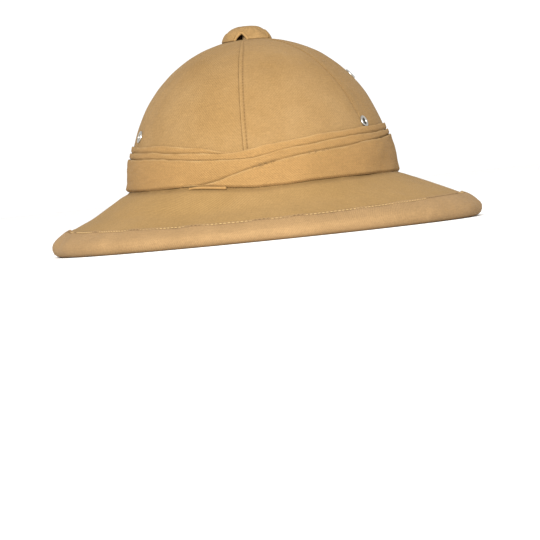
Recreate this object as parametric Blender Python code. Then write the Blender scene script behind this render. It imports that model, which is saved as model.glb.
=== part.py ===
"""Pith helmet: a moulded shell covered in cotton twill, with a wound hat band and a vent cap.

Units are metres and +Z is up. The front faces -Y. The helmet stands on the flat underside of
its rim at z = 0, and the origin is the middle of that footprint. An angle of 0 is the middle of
the front, and 90 degrees is at +X. Left and right in names are as seen from in front.
"""

import math
from collections import namedtuple

import bmesh
import bpy
from mathutils import Matrix, Vector

MM = 0.001

# Crown and brim, measured over the cloth
CROWN_HALF_WIDTH = 92 * MM
CROWN_HALF_LENGTH = 112 * MM
CROWN_HEIGHT = 100 * MM
CROWN_FULLNESS = 0.94  # 1 is a plain ellipse, and less is fuller at the shoulder
BASE_HEIGHT = 38.2 * MM  # foot of the crown over the table, at the sides
BRIM_REACH = 58.5 * MM  # from the crown to the edge of the brim
BASE_DIP = 0.121  # share by which the foot of the crown is lower at front and back
RIM_DIP = 0.219  # the same at the edge of the brim

# Walls and clearances
CROWN_WALL = 6.0 * MM
BRIM_WALL = 5.5 * MM
CLOTH = 1.0 * MM
GAP = 0.3 * MM
LAYER_GAP = 0.5 * MM  # between two faceted layers that curve together

# Vent hole, post and cap
VENT_HOLE_RADIUS = 4.6 * MM
GORE_TOP_RADIUS = 7.5 * MM
CAP_RADIUS = 17.6 * MM
CAP_HEIGHT = 9.5 * MM  # over the crown's top
CAP_WALL = 1.5 * MM
NOTCH_HEIGHT = 5.6 * MM
NOTCH_HALF_WIDTH = 5.4 * MM
CAP_TURN = -12  # degrees round the hat from its front to the middle of a notch
STEM_BUTTON_RADIUS = 9.0 * MM
STEM_BUTTON_HEIGHT = 1.5 * MM

# Eyelets
EYELET_RADIUS = 4.3 * MM
EYELET_BORE_RADIUS = 2.3 * MM
EYELET_WALL = 0.5 * MM
EYELET_CREST = 0.9 * MM

# Hat band, measured up from the foot of the crown
BAND_HEIGHT = 33.5 * MM
BAND_THICKNESS = 2.3 * MM
PLEAT_THICKNESS = 1.5 * MM
TOP_PLEAT_THICKNESS = 1.0 * MM
HEM_FLARE = 1.2 * MM
HEM_LIFT = 0.9 * MM  # the hem's inner edge over the foot of the crown
HEM_DROP = 1.2 * MM  # the hem's outer edge hangs lower than its inner one

# Facets and corners
STEPS_AROUND = 48
STEPS_PER_GORE = 8
EYELET_SIDES = 10
STEM_SIDES = 14
SHARP_ANGLE = 50  # degrees between faces from which an edge is shaded sharp
MITRE_LIMIT = 0.7  # least cosine by which a corner's offset is lengthened

# The brim's top, from the crown outwards: shares of BRIM_REACH and of BASE_HEIGHT
ProfileRow = namedtuple("ProfileRow", "out up")
BRIM_TOP = (
    ProfileRow(out=0.002, up=1.032),
    ProfileRow(out=0.030, up=0.971),
    ProfileRow(out=0.128, up=0.901),
    ProfileRow(out=0.450, up=0.670),
)

# The outside of the binding, from its upper edge round the rim to its edge under the brim
BINDING = (
    ProfileRow(out=0.786, up=0.456),
    ProfileRow(out=0.879, up=0.390),
    ProfileRow(out=0.950, up=0.312),
    ProfileRow(out=0.993, up=0.236),
    ProfileRow(out=1.000, up=0.149),
    ProfileRow(out=0.980, up=0.063),
    ProfileRow(out=0.935, up=0.015),
    ProfileRow(out=0.880, up=0.000),
    ProfileRow(out=0.770, up=0.000),
    ProfileRow(out=0.632, up=0.225),
)
BRIM_TOP_END = ProfileRow(out=0.786, up=0.435)  # where the brim's cloth meets the binding

# The crown's rows as angles up the dome, in degrees
CROWN_ROWS = (15, 26, 37, 48, 59, 69, 78)

# Seams of the crown, in degrees round the hat, at its foot and at its top
SeamRow = namedtuple("SeamRow", "name foot top")
SEAMS = (
    SeamRow(name="front_right", foot=0, top=0),
    SeamRow(name="side_right", foot=65, top=54),
    SeamRow(name="back_right", foot=115, top=126),
    SeamRow(name="back_left", foot=180, top=180),
    SeamRow(name="side_left", foot=245, top=234),
    SeamRow(name="front_left", foot=290, top=303),
)

# Edges of the hat band's windings: shares of BAND_HEIGHT at degrees round the hat
EdgeRow = namedtuple("EdgeRow", "angle up")
TOP_PLEAT_EDGE = (
    EdgeRow(angle=-180, up=1.00),
    EdgeRow(angle=-90, up=1.00),
    EdgeRow(angle=-59, up=0.95),
    EdgeRow(angle=-29, up=0.79),
    EdgeRow(angle=-6, up=0.60),
)
CROSSING_PLEAT_EDGE = (
    EdgeRow(angle=-180, up=0.86),
    EdgeRow(angle=-90, up=0.87),
    EdgeRow(angle=-57, up=0.81),
    EdgeRow(angle=-24, up=0.65),
    EdgeRow(angle=-6, up=0.57),
    EdgeRow(angle=2, up=0.63),
    EdgeRow(angle=13, up=0.68),
    EdgeRow(angle=38, up=0.80),
    EdgeRow(angle=58, up=0.86),
    EdgeRow(angle=90, up=0.97),
    EdgeRow(angle=180, up=1.00),
)
LEFT_BAND_EDGE = (
    EdgeRow(angle=-180, up=0.73),
    EdgeRow(angle=-90, up=0.75),
    EdgeRow(angle=-67, up=0.70),
    EdgeRow(angle=-37, up=0.57),
    EdgeRow(angle=0, up=0.45),
    EdgeRow(angle=19, up=0.54),
    EdgeRow(angle=37, up=0.64),
    EdgeRow(angle=62, up=0.74),
    EdgeRow(angle=90, up=0.83),
    EdgeRow(angle=180, up=0.86),
)
RIGHT_BAND_EDGE = (
    EdgeRow(angle=-22, up=0.02),
    EdgeRow(angle=-12, up=0.06),
    EdgeRow(angle=-6, up=0.14),
    EdgeRow(angle=7, up=0.28),
    EdgeRow(angle=20, up=0.39),
    EdgeRow(angle=36, up=0.50),
    EdgeRow(angle=60, up=0.59),
    EdgeRow(angle=90, up=0.72),
    EdgeRow(angle=180, up=0.73),
)

# How much higher the left band's hem hangs than the foot of the crown, in the same shares
LEFT_HEM_RISE = (
    EdgeRow(angle=-180, up=0.00),
    EdgeRow(angle=-110, up=0.02),
    EdgeRow(angle=-70, up=0.05),
    EdgeRow(angle=-37, up=0.08),
    EdgeRow(angle=-22, up=0.09),
)

# Sections of the windings: shares of their height, and of their thickness lost at an edge
PLEAT_ROWS = (0, 0.6, 1)
BAND_ROWS = (0, 0.25, 0.6, 1)
EDGE_ROUNDING = 0.3

# Eyelets: degrees round the hat, and share of the crown over the hat band that is left below
EyeletRow = namedtuple("EyeletRow", "name angle up")
EYELETS = (
    EyeletRow(name="lower_right", angle=63.3, up=0.011),
    EyeletRow(name="lower_left", angle=-65.5, up=0.045),
    EyeletRow(name="upper_right", angle=94.0, up=0.503),
    EyeletRow(name="upper_left", angle=-94.0, up=0.496),
)

# An eyelet's rounded flange: shares of its width, from the bore out, and of EYELET_CREST
EYELET_FLANGE = (
    ProfileRow(out=1.000, up=0.00),
    ProfileRow(out=0.955, up=0.45),
    ProfileRow(out=0.500, up=1.00),
    ProfileRow(out=0.045, up=0.55),
)

# The vent cap's outside, from its edge to its top: shares of CAP_RADIUS and of its height
CAP_PROFILE = (
    ProfileRow(out=1.000, up=0.00),
    ProfileRow(out=0.890, up=0.34),
    ProfileRow(out=0.733, up=0.62),
    ProfileRow(out=0.470, up=0.87),
    ProfileRow(out=0.300, up=1.00),
)
CAP_QUARTER_ANGLES = (0, 7, 13, 18, 30, 45, 60, 72, 77, 83)


def clear_scene():
    for scene_object in list(bpy.data.objects):
        bpy.data.objects.remove(scene_object, do_unlink=True)


def make_material(name, colour, roughness, metallic=0.0):
    made = bpy.data.materials.new(name)
    made.use_nodes = True
    shader = made.node_tree.nodes["Principled BSDF"]
    shader.inputs["Base Color"].default_value = (*colour, 1.0)
    shader.inputs["Roughness"].default_value = roughness
    shader.inputs["Metallic"].default_value = metallic
    return made


def add_object(name, mesh_data, material):
    made = bpy.data.objects.new(name, mesh_data)
    bpy.context.scene.collection.objects.link(made)
    if material:
        mesh_data.materials.append(material)
    return made


def sweep(name, sections, material, closed=True, lids=False):
    """Joins section loops, each of the same length, into one body round the hat.

    An open sweep gets end faces. In its loops the outer half runs one way and the inner half
    runs back, so point i lies opposite point -1 - i. With lids, the sections' first points
    and their last points each get one face instead of being joined to each other.
    """
    body = bmesh.new()
    loops = [[body.verts.new(point) for point in section] for section in sections]
    count = len(loops[0])
    following = loops[1:] + loops[:1] if closed else loops[1:]
    for here, there in zip(loops, following):
        for i in range(count - 1 if lids else count):
            j = (i + 1) % count
            body.faces.new((here[i], here[j], there[j], there[i]))
    if lids:
        body.faces.new([loop[0] for loop in loops])
        body.faces.new([loop[-1] for loop in loops])
    if not closed:
        for loop in (loops[0], loops[-1]):
            for i in range(count // 2 - 1):
                body.faces.new((loop[i], loop[i + 1], loop[-2 - i], loop[-1 - i]))
    bmesh.ops.recalc_face_normals(body, faces=body.faces)
    if body.calc_volume(signed=True) < 0:
        bmesh.ops.reverse_faces(body, faces=body.faces)
    mesh = bpy.data.meshes.new(name)
    body.to_mesh(mesh)
    body.free()
    mesh.shade_smooth()
    mesh.set_sharp_from_angle(angle=math.radians(SHARP_ANGLE))
    return add_object(name, mesh, material)


def crown_point(angle, rise, lift=0.0):
    """A point of the crown: degrees round the hat, degrees up the dome, metres off the cloth."""
    across = math.cos(math.radians(rise)) ** CROWN_FULLNESS
    turn = math.radians(angle)
    return Vector((
        (CROWN_HALF_WIDTH + lift) * across * math.sin(turn),
        -(CROWN_HALF_LENGTH + lift) * across * math.cos(turn),
        BASE_HEIGHT + (CROWN_HEIGHT + lift) * math.sin(math.radians(rise)),
    ))


def rise_of(height, lift=0.0):
    """Degrees up the dome at a height over the foot of the crown."""
    return math.degrees(math.asin(max(-1.0, min(1.0, height / (CROWN_HEIGHT + lift)))))


def rise_at_radius(radius, lift=0.0):
    """Degrees up the dome where its half width is the radius."""
    across = radius / (CROWN_HALF_WIDTH + lift)
    return math.degrees(math.acos(across ** (1 / CROWN_FULLNESS)))


def crown_height_at(x, y, lift=0.0):
    """Height of the crown's outside over a point near its top."""
    across = math.hypot(x / (CROWN_HALF_WIDTH + lift), y / (CROWN_HALF_LENGTH + lift))
    rise = math.acos(min(1.0, across) ** (1 / CROWN_FULLNESS))
    return BASE_HEIGHT + (CROWN_HEIGHT + lift) * math.sin(rise)


def crown_normal(angle, rise):
    step = 0.5
    along = crown_point(angle + step, rise) - crown_point(angle - step, rise)
    upwards = crown_point(angle, rise + step) - crown_point(angle, rise - step)
    return along.cross(upwards).normalized()


def dip(out, angle):
    """Factor on heights of the brim, lower at front and back than at the sides."""
    share = BASE_DIP + (RIM_DIP - BASE_DIP) * max(0.0, min(1.0, out))
    return 1.0 - share * math.cos(math.radians(angle)) ** 2


def brim_point(radius, height, angle):
    """A point of the brim, whose radius and height are those at the hat's sides."""
    turn = math.radians(angle)
    stretch = CROWN_HALF_LENGTH - CROWN_HALF_WIDTH
    out = (radius - CROWN_HALF_WIDTH) / BRIM_REACH
    return Vector((
        radius * math.sin(turn),
        -(radius + stretch) * math.cos(turn),
        height * dip(out, angle),
    ))


def profile_points(rows):
    """Radius and height at the hat's sides of each row of a brim table."""
    return [(CROWN_HALF_WIDTH + row.out * BRIM_REACH, row.up * BASE_HEIGHT) for row in rows]


def offset_line(points, distance):
    """The line moved sideways, to its left as it runs, with its corners kept."""
    ends = [points[0], *points, points[-1]]
    moved = []
    for before, here, after in zip(ends, points, ends[2:]):
        normals = []
        for start, stop in ((before, here), (here, after)):
            length = math.dist(start, stop)
            if length > 0:
                run = ((stop[0] - start[0]) / length, (stop[1] - start[1]) / length)
                normals.append((-run[1], run[0]))
        middle = (sum(n[0] for n in normals), sum(n[1] for n in normals))
        size = math.hypot(*middle)
        unit = (middle[0] / size, middle[1] / size)
        cosine = unit[0] * normals[0][0] + unit[1] * normals[0][1]
        reach = distance / max(cosine, MITRE_LIMIT)
        moved.append((here[0] + unit[0] * reach, here[1] + unit[1] * reach))
    return moved


def angles_around():
    return [360 * i / STEPS_AROUND for i in range(STEPS_AROUND)]


def make_shell(material):
    outer_lift = -(CLOTH + LAYER_GAP)
    inner_lift = outer_lift - CROWN_WALL
    under = CLOTH + LAYER_GAP
    wall_row = BRIM_TOP[0]._replace(up=2 * BRIM_TOP[0].up)  # turns the first corner to the wall
    top_line = offset_line(profile_points((wall_row, *BRIM_TOP, BRIM_TOP_END)), -under)[1:]
    bead_line = offset_line(profile_points(BINDING), -(CLOTH + GAP))[1:]
    underside = offset_line(
        profile_points((*BRIM_TOP[1:], BRIM_TOP_END)), -(under + BRIM_WALL)
    )[1:3]
    corner_height = BASE_HEIGHT - CLOTH - BRIM_WALL / 2
    outer_rises = [*CROWN_ROWS, rise_at_radius(VENT_HOLE_RADIUS, outer_lift)]
    inner_rises = [*CROWN_ROWS, rise_at_radius(VENT_HOLE_RADIUS, inner_lift)]
    sections = []
    for angle in angles_around():
        section = [crown_point(angle, rise, outer_lift) for rise in reversed(outer_rises)]
        for radius, height in top_line + bead_line + underside[::-1]:
            section.append(brim_point(radius, height, angle))
        corner = brim_point(CROWN_HALF_WIDTH + inner_lift, corner_height, angle)
        section.append(corner)
        section += [crown_point(angle, rise, inner_lift) for rise in inner_rises]
        sections.append(section)
    return sweep("shell", sections, material)


def make_brim_cover(material):
    end = ProfileRow(BRIM_TOP_END.out - 2 * GAP / BRIM_REACH, BRIM_TOP_END.up)
    outside = profile_points((*BRIM_TOP, end))
    inside = offset_line(outside, -CLOTH)
    sections = []
    for angle in angles_around():
        loop = outside + inside[::-1]
        sections.append([brim_point(radius, height, angle) for radius, height in loop])
    return sweep("brim_cover", sections, material)


def make_rim_binding(material):
    outside = profile_points(BINDING)
    inside = offset_line(outside, -CLOTH)
    sections = []
    for angle in angles_around():
        loop = outside + inside[::-1]
        sections.append([brim_point(radius, height, angle) for radius, height in loop])
    return sweep("rim_binding", sections, material)


def seam_angle(seam, rise):
    share = math.sin(math.radians(rise))
    return seam.foot + (seam.top - seam.foot) * share


def make_gore(seam, next_seam, material):
    """One cloth panel of the crown, between two seams."""
    rises = [0, *CROWN_ROWS, rise_at_radius(GORE_TOP_RADIUS)]
    sections = []
    for i in range(STEPS_PER_GORE + 1):
        share = i / STEPS_PER_GORE
        outside = []
        inside = []
        for rise in rises:
            start = seam_angle(seam, rise)
            stop = seam_angle(next_seam, rise)
            if stop <= start:
                stop += 360
            half_gap = math.degrees(GAP / 2 / crown_point(90, rise).x)
            angle = (start + half_gap) * (1 - share) + (stop - half_gap) * share
            if rise == 0:
                foot = BRIM_TOP[0].up * BASE_HEIGHT * dip(0, angle) + 2 * GAP
                rise = rise_of(foot - BASE_HEIGHT)
            outside.append(crown_point(angle, rise))
            inside.append(crown_point(angle, rise, -CLOTH))
        sections.append(outside + inside[::-1])
    return sweep("gore_" + seam.name, sections, material, closed=False)


def edge_height(table, angle):
    """Height of a band's edge over the foot of the crown, read along its table."""
    for row, after in zip(table, table[1:]):
        if angle <= after.angle:
            share = max(0.0, (angle - row.angle) / (after.angle - row.angle))
            return BAND_HEIGHT * (row.up + (after.up - row.up) * share)
    return BAND_HEIGHT * table[-1].up


def hem_height(angle):
    """Height of the hat band's lower edge, which follows the foot of the crown."""
    return BASE_HEIGHT * (dip(0, angle) - 1)


def band_section(angle, low, high, thickness, rows, hem=False):
    """A band's section: rows are its shares of height, outside first, then inside."""
    outside = []
    inside = []
    for share in rows:
        height = low + (high - low) * share
        rise = rise_of(height)
        flare = HEM_FLARE * (1 - share / rows[1]) if hem and share < rows[1] else 0.0
        edge = EDGE_ROUNDING * thickness if share in (rows[0], rows[-1]) and not hem else 0.0
        drop = HEM_DROP if hem and share == 0 else 0.0
        skin = LAYER_GAP + thickness + flare - edge
        outside.append(crown_point(angle, rise_of(height - drop), skin))
        inside.append(crown_point(angle, rise, LAYER_GAP + flare))
    return outside + inside[::-1]


def stations(start, stop):
    """Angles of a band's sections: its ends, the hat's own steps, and where a band stops."""
    half = STEPS_AROUND // 2
    steps = [360 * i / STEPS_AROUND for i in range(-half, half + 1)]
    stops = [TOP_PLEAT_EDGE[-1].angle, RIGHT_BAND_EDGE[0].angle]
    inner = sorted(angle for angle in {*steps, *stops} if start < angle < stop)
    return [start, *inner, stop]


def back_gap():
    """Half of the clearance between two bands that meet at the back, in degrees."""
    return math.degrees(GAP / CROWN_HALF_WIDTH)


def make_top_pleat(material):
    start, stop = -180 + back_gap(), TOP_PLEAT_EDGE[-1].angle
    sections = []
    for angle in stations(start, stop):
        low = edge_height(CROSSING_PLEAT_EDGE, angle) + GAP
        high = edge_height(TOP_PLEAT_EDGE, angle)
        sections.append(band_section(angle, low, high, TOP_PLEAT_THICKNESS, PLEAT_ROWS))
    return sweep("wrap_top_pleat", sections, material, closed=False)


def make_crossing_pleat(material):
    start, stop = -180 + back_gap(), 180 - back_gap()
    sections = []
    for angle in stations(start, stop):
        low = edge_height(LEFT_BAND_EDGE, angle) + GAP
        high = edge_height(CROSSING_PLEAT_EDGE, angle)
        sections.append(band_section(angle, low, high, PLEAT_THICKNESS, PLEAT_ROWS))
    return sweep("wrap_crossing_pleat", sections, material, closed=False)


def make_left_band(material):
    """The wide winding at the left, whose upper edge runs on over the other at the right."""
    start, stop = -180 + back_gap(), 180 - back_gap()
    overlap = RIGHT_BAND_EDGE[0].angle
    sections = []
    for angle in stations(start, stop):
        low = hem_height(angle) + HEM_LIFT + edge_height(LEFT_HEM_RISE, angle)
        if angle >= overlap:
            low = edge_height(RIGHT_BAND_EDGE, angle) + GAP
        high = edge_height(LEFT_BAND_EDGE, angle)
        hem = angle < overlap
        sections.append(band_section(angle, low, high, BAND_THICKNESS, BAND_ROWS, hem))
    return sweep("wrap_left_band", sections, material, closed=False)


def make_right_band(material):
    """The wide winding at the right, whose end crosses the front in a wedge."""
    start, stop = RIGHT_BAND_EDGE[0].angle + back_gap(), 180 - back_gap()
    sections = []
    for angle in stations(start, stop):
        low = hem_height(angle) + HEM_LIFT
        high = edge_height(RIGHT_BAND_EDGE, angle)
        sections.append(band_section(angle, low, high, BAND_THICKNESS, BAND_ROWS, hem=True))
    return sweep("wrap_right_band", sections, material, closed=False)


def cap_out(share):
    """Share of the cap's radius at a share of its height."""
    for row, after in zip(CAP_PROFILE, CAP_PROFILE[1:]):
        if share <= after.up:
            along = (share - row.up) / (after.up - row.up)
            return row.out + (after.out - row.out) * along
    return CAP_PROFILE[-1].out


def cap_line(turn, arch, inset):
    """One side of the cap's wall at a turn, from its edge over the crown to its top."""
    radius = CAP_RADIUS - inset
    edge = (radius * math.sin(turn), -radius * math.cos(turn))
    seat = crown_height_at(*edge) + GAP
    top = crown_height_at(0, 0) + CAP_HEIGHT - inset
    line = []
    for row in CAP_PROFILE:
        height = seat + arch + (top - seat - arch) * row.up
        out = cap_out((height - seat) / (top - seat))
        line.append(Vector((edge[0] * out, edge[1] * out, height)))
    return line


def make_vent_cap(material):
    """A hollow cap whose edge follows the crown and rises in an arch at each quarter."""
    angles = [quarter * 90 + angle for quarter in range(4) for angle in CAP_QUARTER_ANGLES]
    sections = []
    for angle in angles:
        turn = math.radians(angle + CAP_TURN)
        from_notch = math.radians(min(angle % 90, 90 - angle % 90))
        across = CAP_RADIUS * math.sin(from_notch) / NOTCH_HALF_WIDTH
        arch = NOTCH_HEIGHT * math.sqrt(max(0.0, 1 - across**2))
        outside = cap_line(turn, arch, 0.0)
        inside = cap_line(turn, arch, CAP_WALL)
        sections.append(inside[::-1] + outside)
    return sweep("vent_cap", sections, material, lids=True)


def lathe(name, profile, sides, material, lids=False):
    """A turned body from a profile of radius and height points."""
    sections = []
    for i in range(sides):
        turn = 2 * math.pi * i / sides
        sections.append([
            Vector((radius * math.cos(turn), radius * math.sin(turn), height))
            for radius, height in profile
        ])
    return sweep(name, sections, material, lids=lids)


def make_stem(material):
    """A plain post with a button inside the crown, which carries the cap."""
    inner_lift = -(CLOTH + LAYER_GAP + CROWN_WALL)
    button_top = crown_height_at(STEM_BUTTON_RADIUS, 0, inner_lift) - GAP
    post_top = crown_height_at(0, 0) + CAP_HEIGHT - CAP_WALL - GAP
    post_radius = VENT_HOLE_RADIUS - GAP
    profile = (
        (STEM_BUTTON_RADIUS, button_top - STEM_BUTTON_HEIGHT),
        (STEM_BUTTON_RADIUS, button_top),
        (post_radius, button_top),
        (post_radius, post_top),
    )
    return lathe("cap_stem", profile, STEM_SIDES, material, lids=True)


def eyelet_rise(row):
    """Degrees up the dome of an eyelet's middle, which stands clear of the hat band's edge."""
    at_left = row.angle < TOP_PLEAT_EDGE[-1].angle
    band = edge_height(TOP_PLEAT_EDGE if at_left else CROSSING_PLEAT_EDGE, row.angle)
    return rise_of(band + EYELET_RADIUS + row.up * (CROWN_HEIGHT - band))


def eyelet_place(row):
    """Matrix that puts an eyelet's axis along the crown's normal."""
    rise = eyelet_rise(row)
    normal = crown_normal(row.angle, rise)
    turned = normal.to_track_quat("Z", "Y").to_matrix().to_4x4()
    return Matrix.Translation(crown_point(row.angle, rise)) @ turned


def make_eyelet(eyelet, material):
    barrel_radius = EYELET_BORE_RADIUS + EYELET_WALL
    depth = CLOTH + LAYER_GAP + CROWN_WALL + GAP
    width = EYELET_RADIUS - EYELET_BORE_RADIUS
    barrel = ((EYELET_BORE_RADIUS, -depth), (barrel_radius, -depth), (barrel_radius, GAP))
    flange = [
        (EYELET_BORE_RADIUS + row.out * width, GAP + row.up * EYELET_CREST)
        for row in EYELET_FLANGE
    ]
    profile = (*barrel, *flange)
    made = lathe("eyelet_" + eyelet.name, profile, EYELET_SIDES, material)
    made.matrix_world = eyelet_place(eyelet)
    return made


def make_eyelet_cutter(row):
    """A guide cylinder that drills the cloth and the shell for one eyelet."""
    radius = EYELET_BORE_RADIUS + EYELET_WALL + GAP
    reach = 3 * (CROWN_WALL + CLOTH)  # well past both faces of the wall
    body = bmesh.new()
    bmesh.ops.create_cone(
        body,
        cap_ends=True,
        segments=EYELET_SIDES,
        radius1=radius,
        radius2=radius,
        depth=2 * reach,
    )
    mesh = bpy.data.meshes.new("eyelet_cutter_" + row.name)
    body.to_mesh(mesh)
    body.free()
    cutter = add_object("eyelet_cutter_" + row.name, mesh, None)
    cutter.matrix_world = eyelet_place(row)
    cutter.hide_render = True
    cutter.display_type = "WIRE"
    return cutter


def drill(target, cutter):
    cut = target.modifiers.new(cutter.name, "BOOLEAN")
    cut.operation = "DIFFERENCE"
    cut.solver = "EXACT"
    cut.object = cutter


def gores_at(row):
    """Names of the panels that an eyelet's hole reaches."""
    rise = eyelet_rise(row)
    margin = math.degrees(2 * EYELET_RADIUS / crown_point(90, rise).x)
    reached = []
    for seam, after in zip(SEAMS, SEAMS[1:] + SEAMS[:1]):
        start = seam_angle(seam, rise)
        width = (seam_angle(after, rise) - start) % 360
        along = (row.angle - start + margin) % 360
        if along < width + 2 * margin:
            reached.append("gore_" + seam.name)
    return reached


def main():
    clear_scene()
    pith = make_material("moulded_pith", (0.55, 0.42, 0.28), 0.9)
    twill = make_material("cotton_twill", (0.60, 0.37, 0.15), 0.85)
    binding = make_material("binding_twill", (0.70, 0.44, 0.19), 0.85)
    band = make_material("band_twill", (0.66, 0.41, 0.17), 0.85)
    nickel = make_material("nickel_plate", (0.78, 0.77, 0.74), 0.25, metallic=1.0)

    shell = make_shell(pith)
    make_brim_cover(twill)
    make_rim_binding(binding)
    gores = {}
    for seam, next_seam in zip(SEAMS, SEAMS[1:] + SEAMS[:1]):
        gore = make_gore(seam, next_seam, twill)
        gores[gore.name] = gore
    make_top_pleat(band)
    make_crossing_pleat(band)
    make_left_band(band)
    make_right_band(band)
    make_vent_cap(twill)
    make_stem(pith)
    for row in EYELETS:
        make_eyelet(row, nickel)
        cutter = make_eyelet_cutter(row)
        drill(shell, cutter)
        for name in gores_at(row):
            drill(gores[name], cutter)


main()
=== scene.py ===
# %% [markdown]
# # A cloth-covered sun helmet
#
# The real helmet is a stiff shell of moulded pith with cotton twill glued over it. Six panels
# of cloth cover the crown, one ring covers the brim, a bias strip binds the rim, and a long
# folded band is wound round the foot of the crown. Each of those is cut flat and then bent
# over the shell, so each is made here as a grid of points that follows the shell, with the
# cloth's own flat measures kept as its UVs. The weave then runs as it does on real cloth.

# %% Load the frame
import math
from collections import namedtuple

import bpy
import numpy as np
from mathutils import Matrix, Vector


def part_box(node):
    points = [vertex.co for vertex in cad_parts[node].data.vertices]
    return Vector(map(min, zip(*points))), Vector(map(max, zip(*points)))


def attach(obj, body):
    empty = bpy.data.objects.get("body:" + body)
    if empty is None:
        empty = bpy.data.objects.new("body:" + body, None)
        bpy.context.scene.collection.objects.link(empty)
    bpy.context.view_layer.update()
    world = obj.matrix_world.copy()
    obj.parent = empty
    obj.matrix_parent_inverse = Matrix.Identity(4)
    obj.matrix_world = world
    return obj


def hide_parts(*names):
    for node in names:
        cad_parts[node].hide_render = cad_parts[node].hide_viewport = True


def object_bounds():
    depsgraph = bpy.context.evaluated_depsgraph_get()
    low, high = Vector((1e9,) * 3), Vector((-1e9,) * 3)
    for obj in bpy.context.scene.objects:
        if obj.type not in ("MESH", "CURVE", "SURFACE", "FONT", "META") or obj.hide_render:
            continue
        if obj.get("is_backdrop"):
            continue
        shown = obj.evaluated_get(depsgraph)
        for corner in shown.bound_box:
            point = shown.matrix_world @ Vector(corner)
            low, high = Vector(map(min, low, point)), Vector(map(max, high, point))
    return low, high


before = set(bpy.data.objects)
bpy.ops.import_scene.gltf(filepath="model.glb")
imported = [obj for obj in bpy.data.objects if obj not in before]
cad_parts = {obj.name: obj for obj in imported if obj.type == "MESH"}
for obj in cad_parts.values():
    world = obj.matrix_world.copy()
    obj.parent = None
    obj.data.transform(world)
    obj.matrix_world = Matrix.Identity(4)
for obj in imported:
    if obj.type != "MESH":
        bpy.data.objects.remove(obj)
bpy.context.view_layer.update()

MM = 0.001

# %% [markdown]
# ## Sizes
#
# The frame says how large the helmet is, so its main sizes are read from the boxes of its
# nodes. The rest are shares of those, or thicknesses of cloth. Angles are degrees round the
# hat from the middle of its front, towards +X, and degrees up the dome of the crown. Left and
# right are those that one sees from the front, so +X is on the right.

# %% Main sizes, from the frame
rim_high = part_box("rim_binding")[1]
panel_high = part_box("gore_side_right")[1]
brim_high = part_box("brim_cover")[1]
cap_low, cap_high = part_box("vent_cap")

CAP_HEIGHT = 9.5 * MM
BRIM_TOP_UP = 1.032
crown_half_width = panel_high.x
stretch = rim_high.y - rim_high.x
crown_half_length = crown_half_width + stretch
brim_reach = rim_high.x - crown_half_width
base_height = brim_high.z / BRIM_TOP_UP
crown_height = cap_high.z - CAP_HEIGHT - base_height
print("crown:", [round(size / MM, 1) for size in (crown_half_width, crown_half_length, crown_height)])
print("brim reach and foot of the crown:", round(brim_reach / MM, 1), round(base_height / MM, 1))

# %% Shape of the crown and the brim
CROWN_FULLNESS = 0.94
BASE_DIP = 0.121
RIM_DIP = 0.219


def crown_points(angle, rise, lift=0.0):
    """Points of the crown, at a lift off the outside of its cloth."""
    across = np.cos(np.radians(rise)) ** CROWN_FULLNESS
    turn = np.radians(angle)
    x = (crown_half_width + lift) * across * np.sin(turn)
    y = -(crown_half_length + lift) * across * np.cos(turn)
    z = base_height + (crown_height + lift) * np.sin(np.radians(rise))
    return np.stack(np.broadcast_arrays(x, y, z), axis=-1)


def rise_of(height):
    """Degrees up the dome at a height over its foot."""
    return np.degrees(np.arcsin(np.clip(height / crown_height, -1, 1)))


def rise_at_radius(radius):
    """Degrees up the dome where it is as wide as a radius at the hat's sides."""
    return np.degrees(np.arccos((radius / crown_half_width) ** (1 / CROWN_FULLNESS)))


def dip(out, angle):
    """Factor on heights of the brim, which hangs lower at front and back."""
    share = BASE_DIP + (RIM_DIP - BASE_DIP) * np.clip(out, 0, 1)
    return 1 - share * np.cos(np.radians(angle)) ** 2


def brim_points(radius, height, angle):
    """Points of the brim, whose radius and height are those at the hat's sides."""
    turn = np.radians(angle)
    out = (radius - crown_half_width) / brim_reach
    x = radius * np.sin(turn)
    y = -(radius + stretch) * np.cos(turn)
    return np.stack(np.broadcast_arrays(x, y, height * dip(out, angle)), axis=-1)


# %% [markdown]
# ## Building cloth
#
# Blender could thicken a sheet with a Solidify modifier. Here the two faces of each cloth are
# worked out as two grids instead, because folded edges have to be round, seams have to lap,
# and one face may lie against the shell while the other bulges. `cloth_wall` joins the two
# grids round their edges into one closed wall.

# %% Helpers for lines and grids
def smooth_line(points, count):
    """Points spread evenly along a smooth curve through the given ones."""
    points = np.array(points, dtype=float)
    steps = np.linalg.norm(np.diff(points, axis=0), axis=1)
    along = np.concatenate([[0], np.cumsum(steps)])
    slopes = np.gradient(points, along, axis=0)
    where = np.linspace(0, along[-1], count)
    i = np.clip(np.searchsorted(along, where, side="right") - 1, 0, len(along) - 2)
    span = (along[i + 1] - along[i])[:, None]
    s = (where - along[i])[:, None] / span
    start = (2 * s**3 - 3 * s**2 + 1) * points[i] + (s**3 - 2 * s**2 + s) * span * slopes[i]
    stop = (3 * s**2 - 2 * s**3) * points[i + 1] + (s**3 - s**2) * span * slopes[i + 1]
    return start + stop


def unit(vectors):
    """The same directions, each of length one."""
    return vectors / np.linalg.norm(vectors, axis=-1)[..., None]


def line_normals(points):
    """Unit normals to the left of a line in a plane."""
    run = unit(np.gradient(points, axis=0))
    return np.stack([-run[:, 1], run[:, 0]], axis=1)


def lengths_along(points):
    """Distance of each point from the line's start."""
    steps = np.linalg.norm(np.diff(points, axis=0), axis=-1)
    return np.concatenate([np.zeros_like(steps[:1]), np.cumsum(steps, axis=0)])


def at_lengths(where, along, line):
    """Points of a line at lengths from its start, where along holds its own points' lengths."""
    return np.stack([np.interp(where, along, line[:, k]) for k in range(line.shape[1])], axis=-1)


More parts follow.
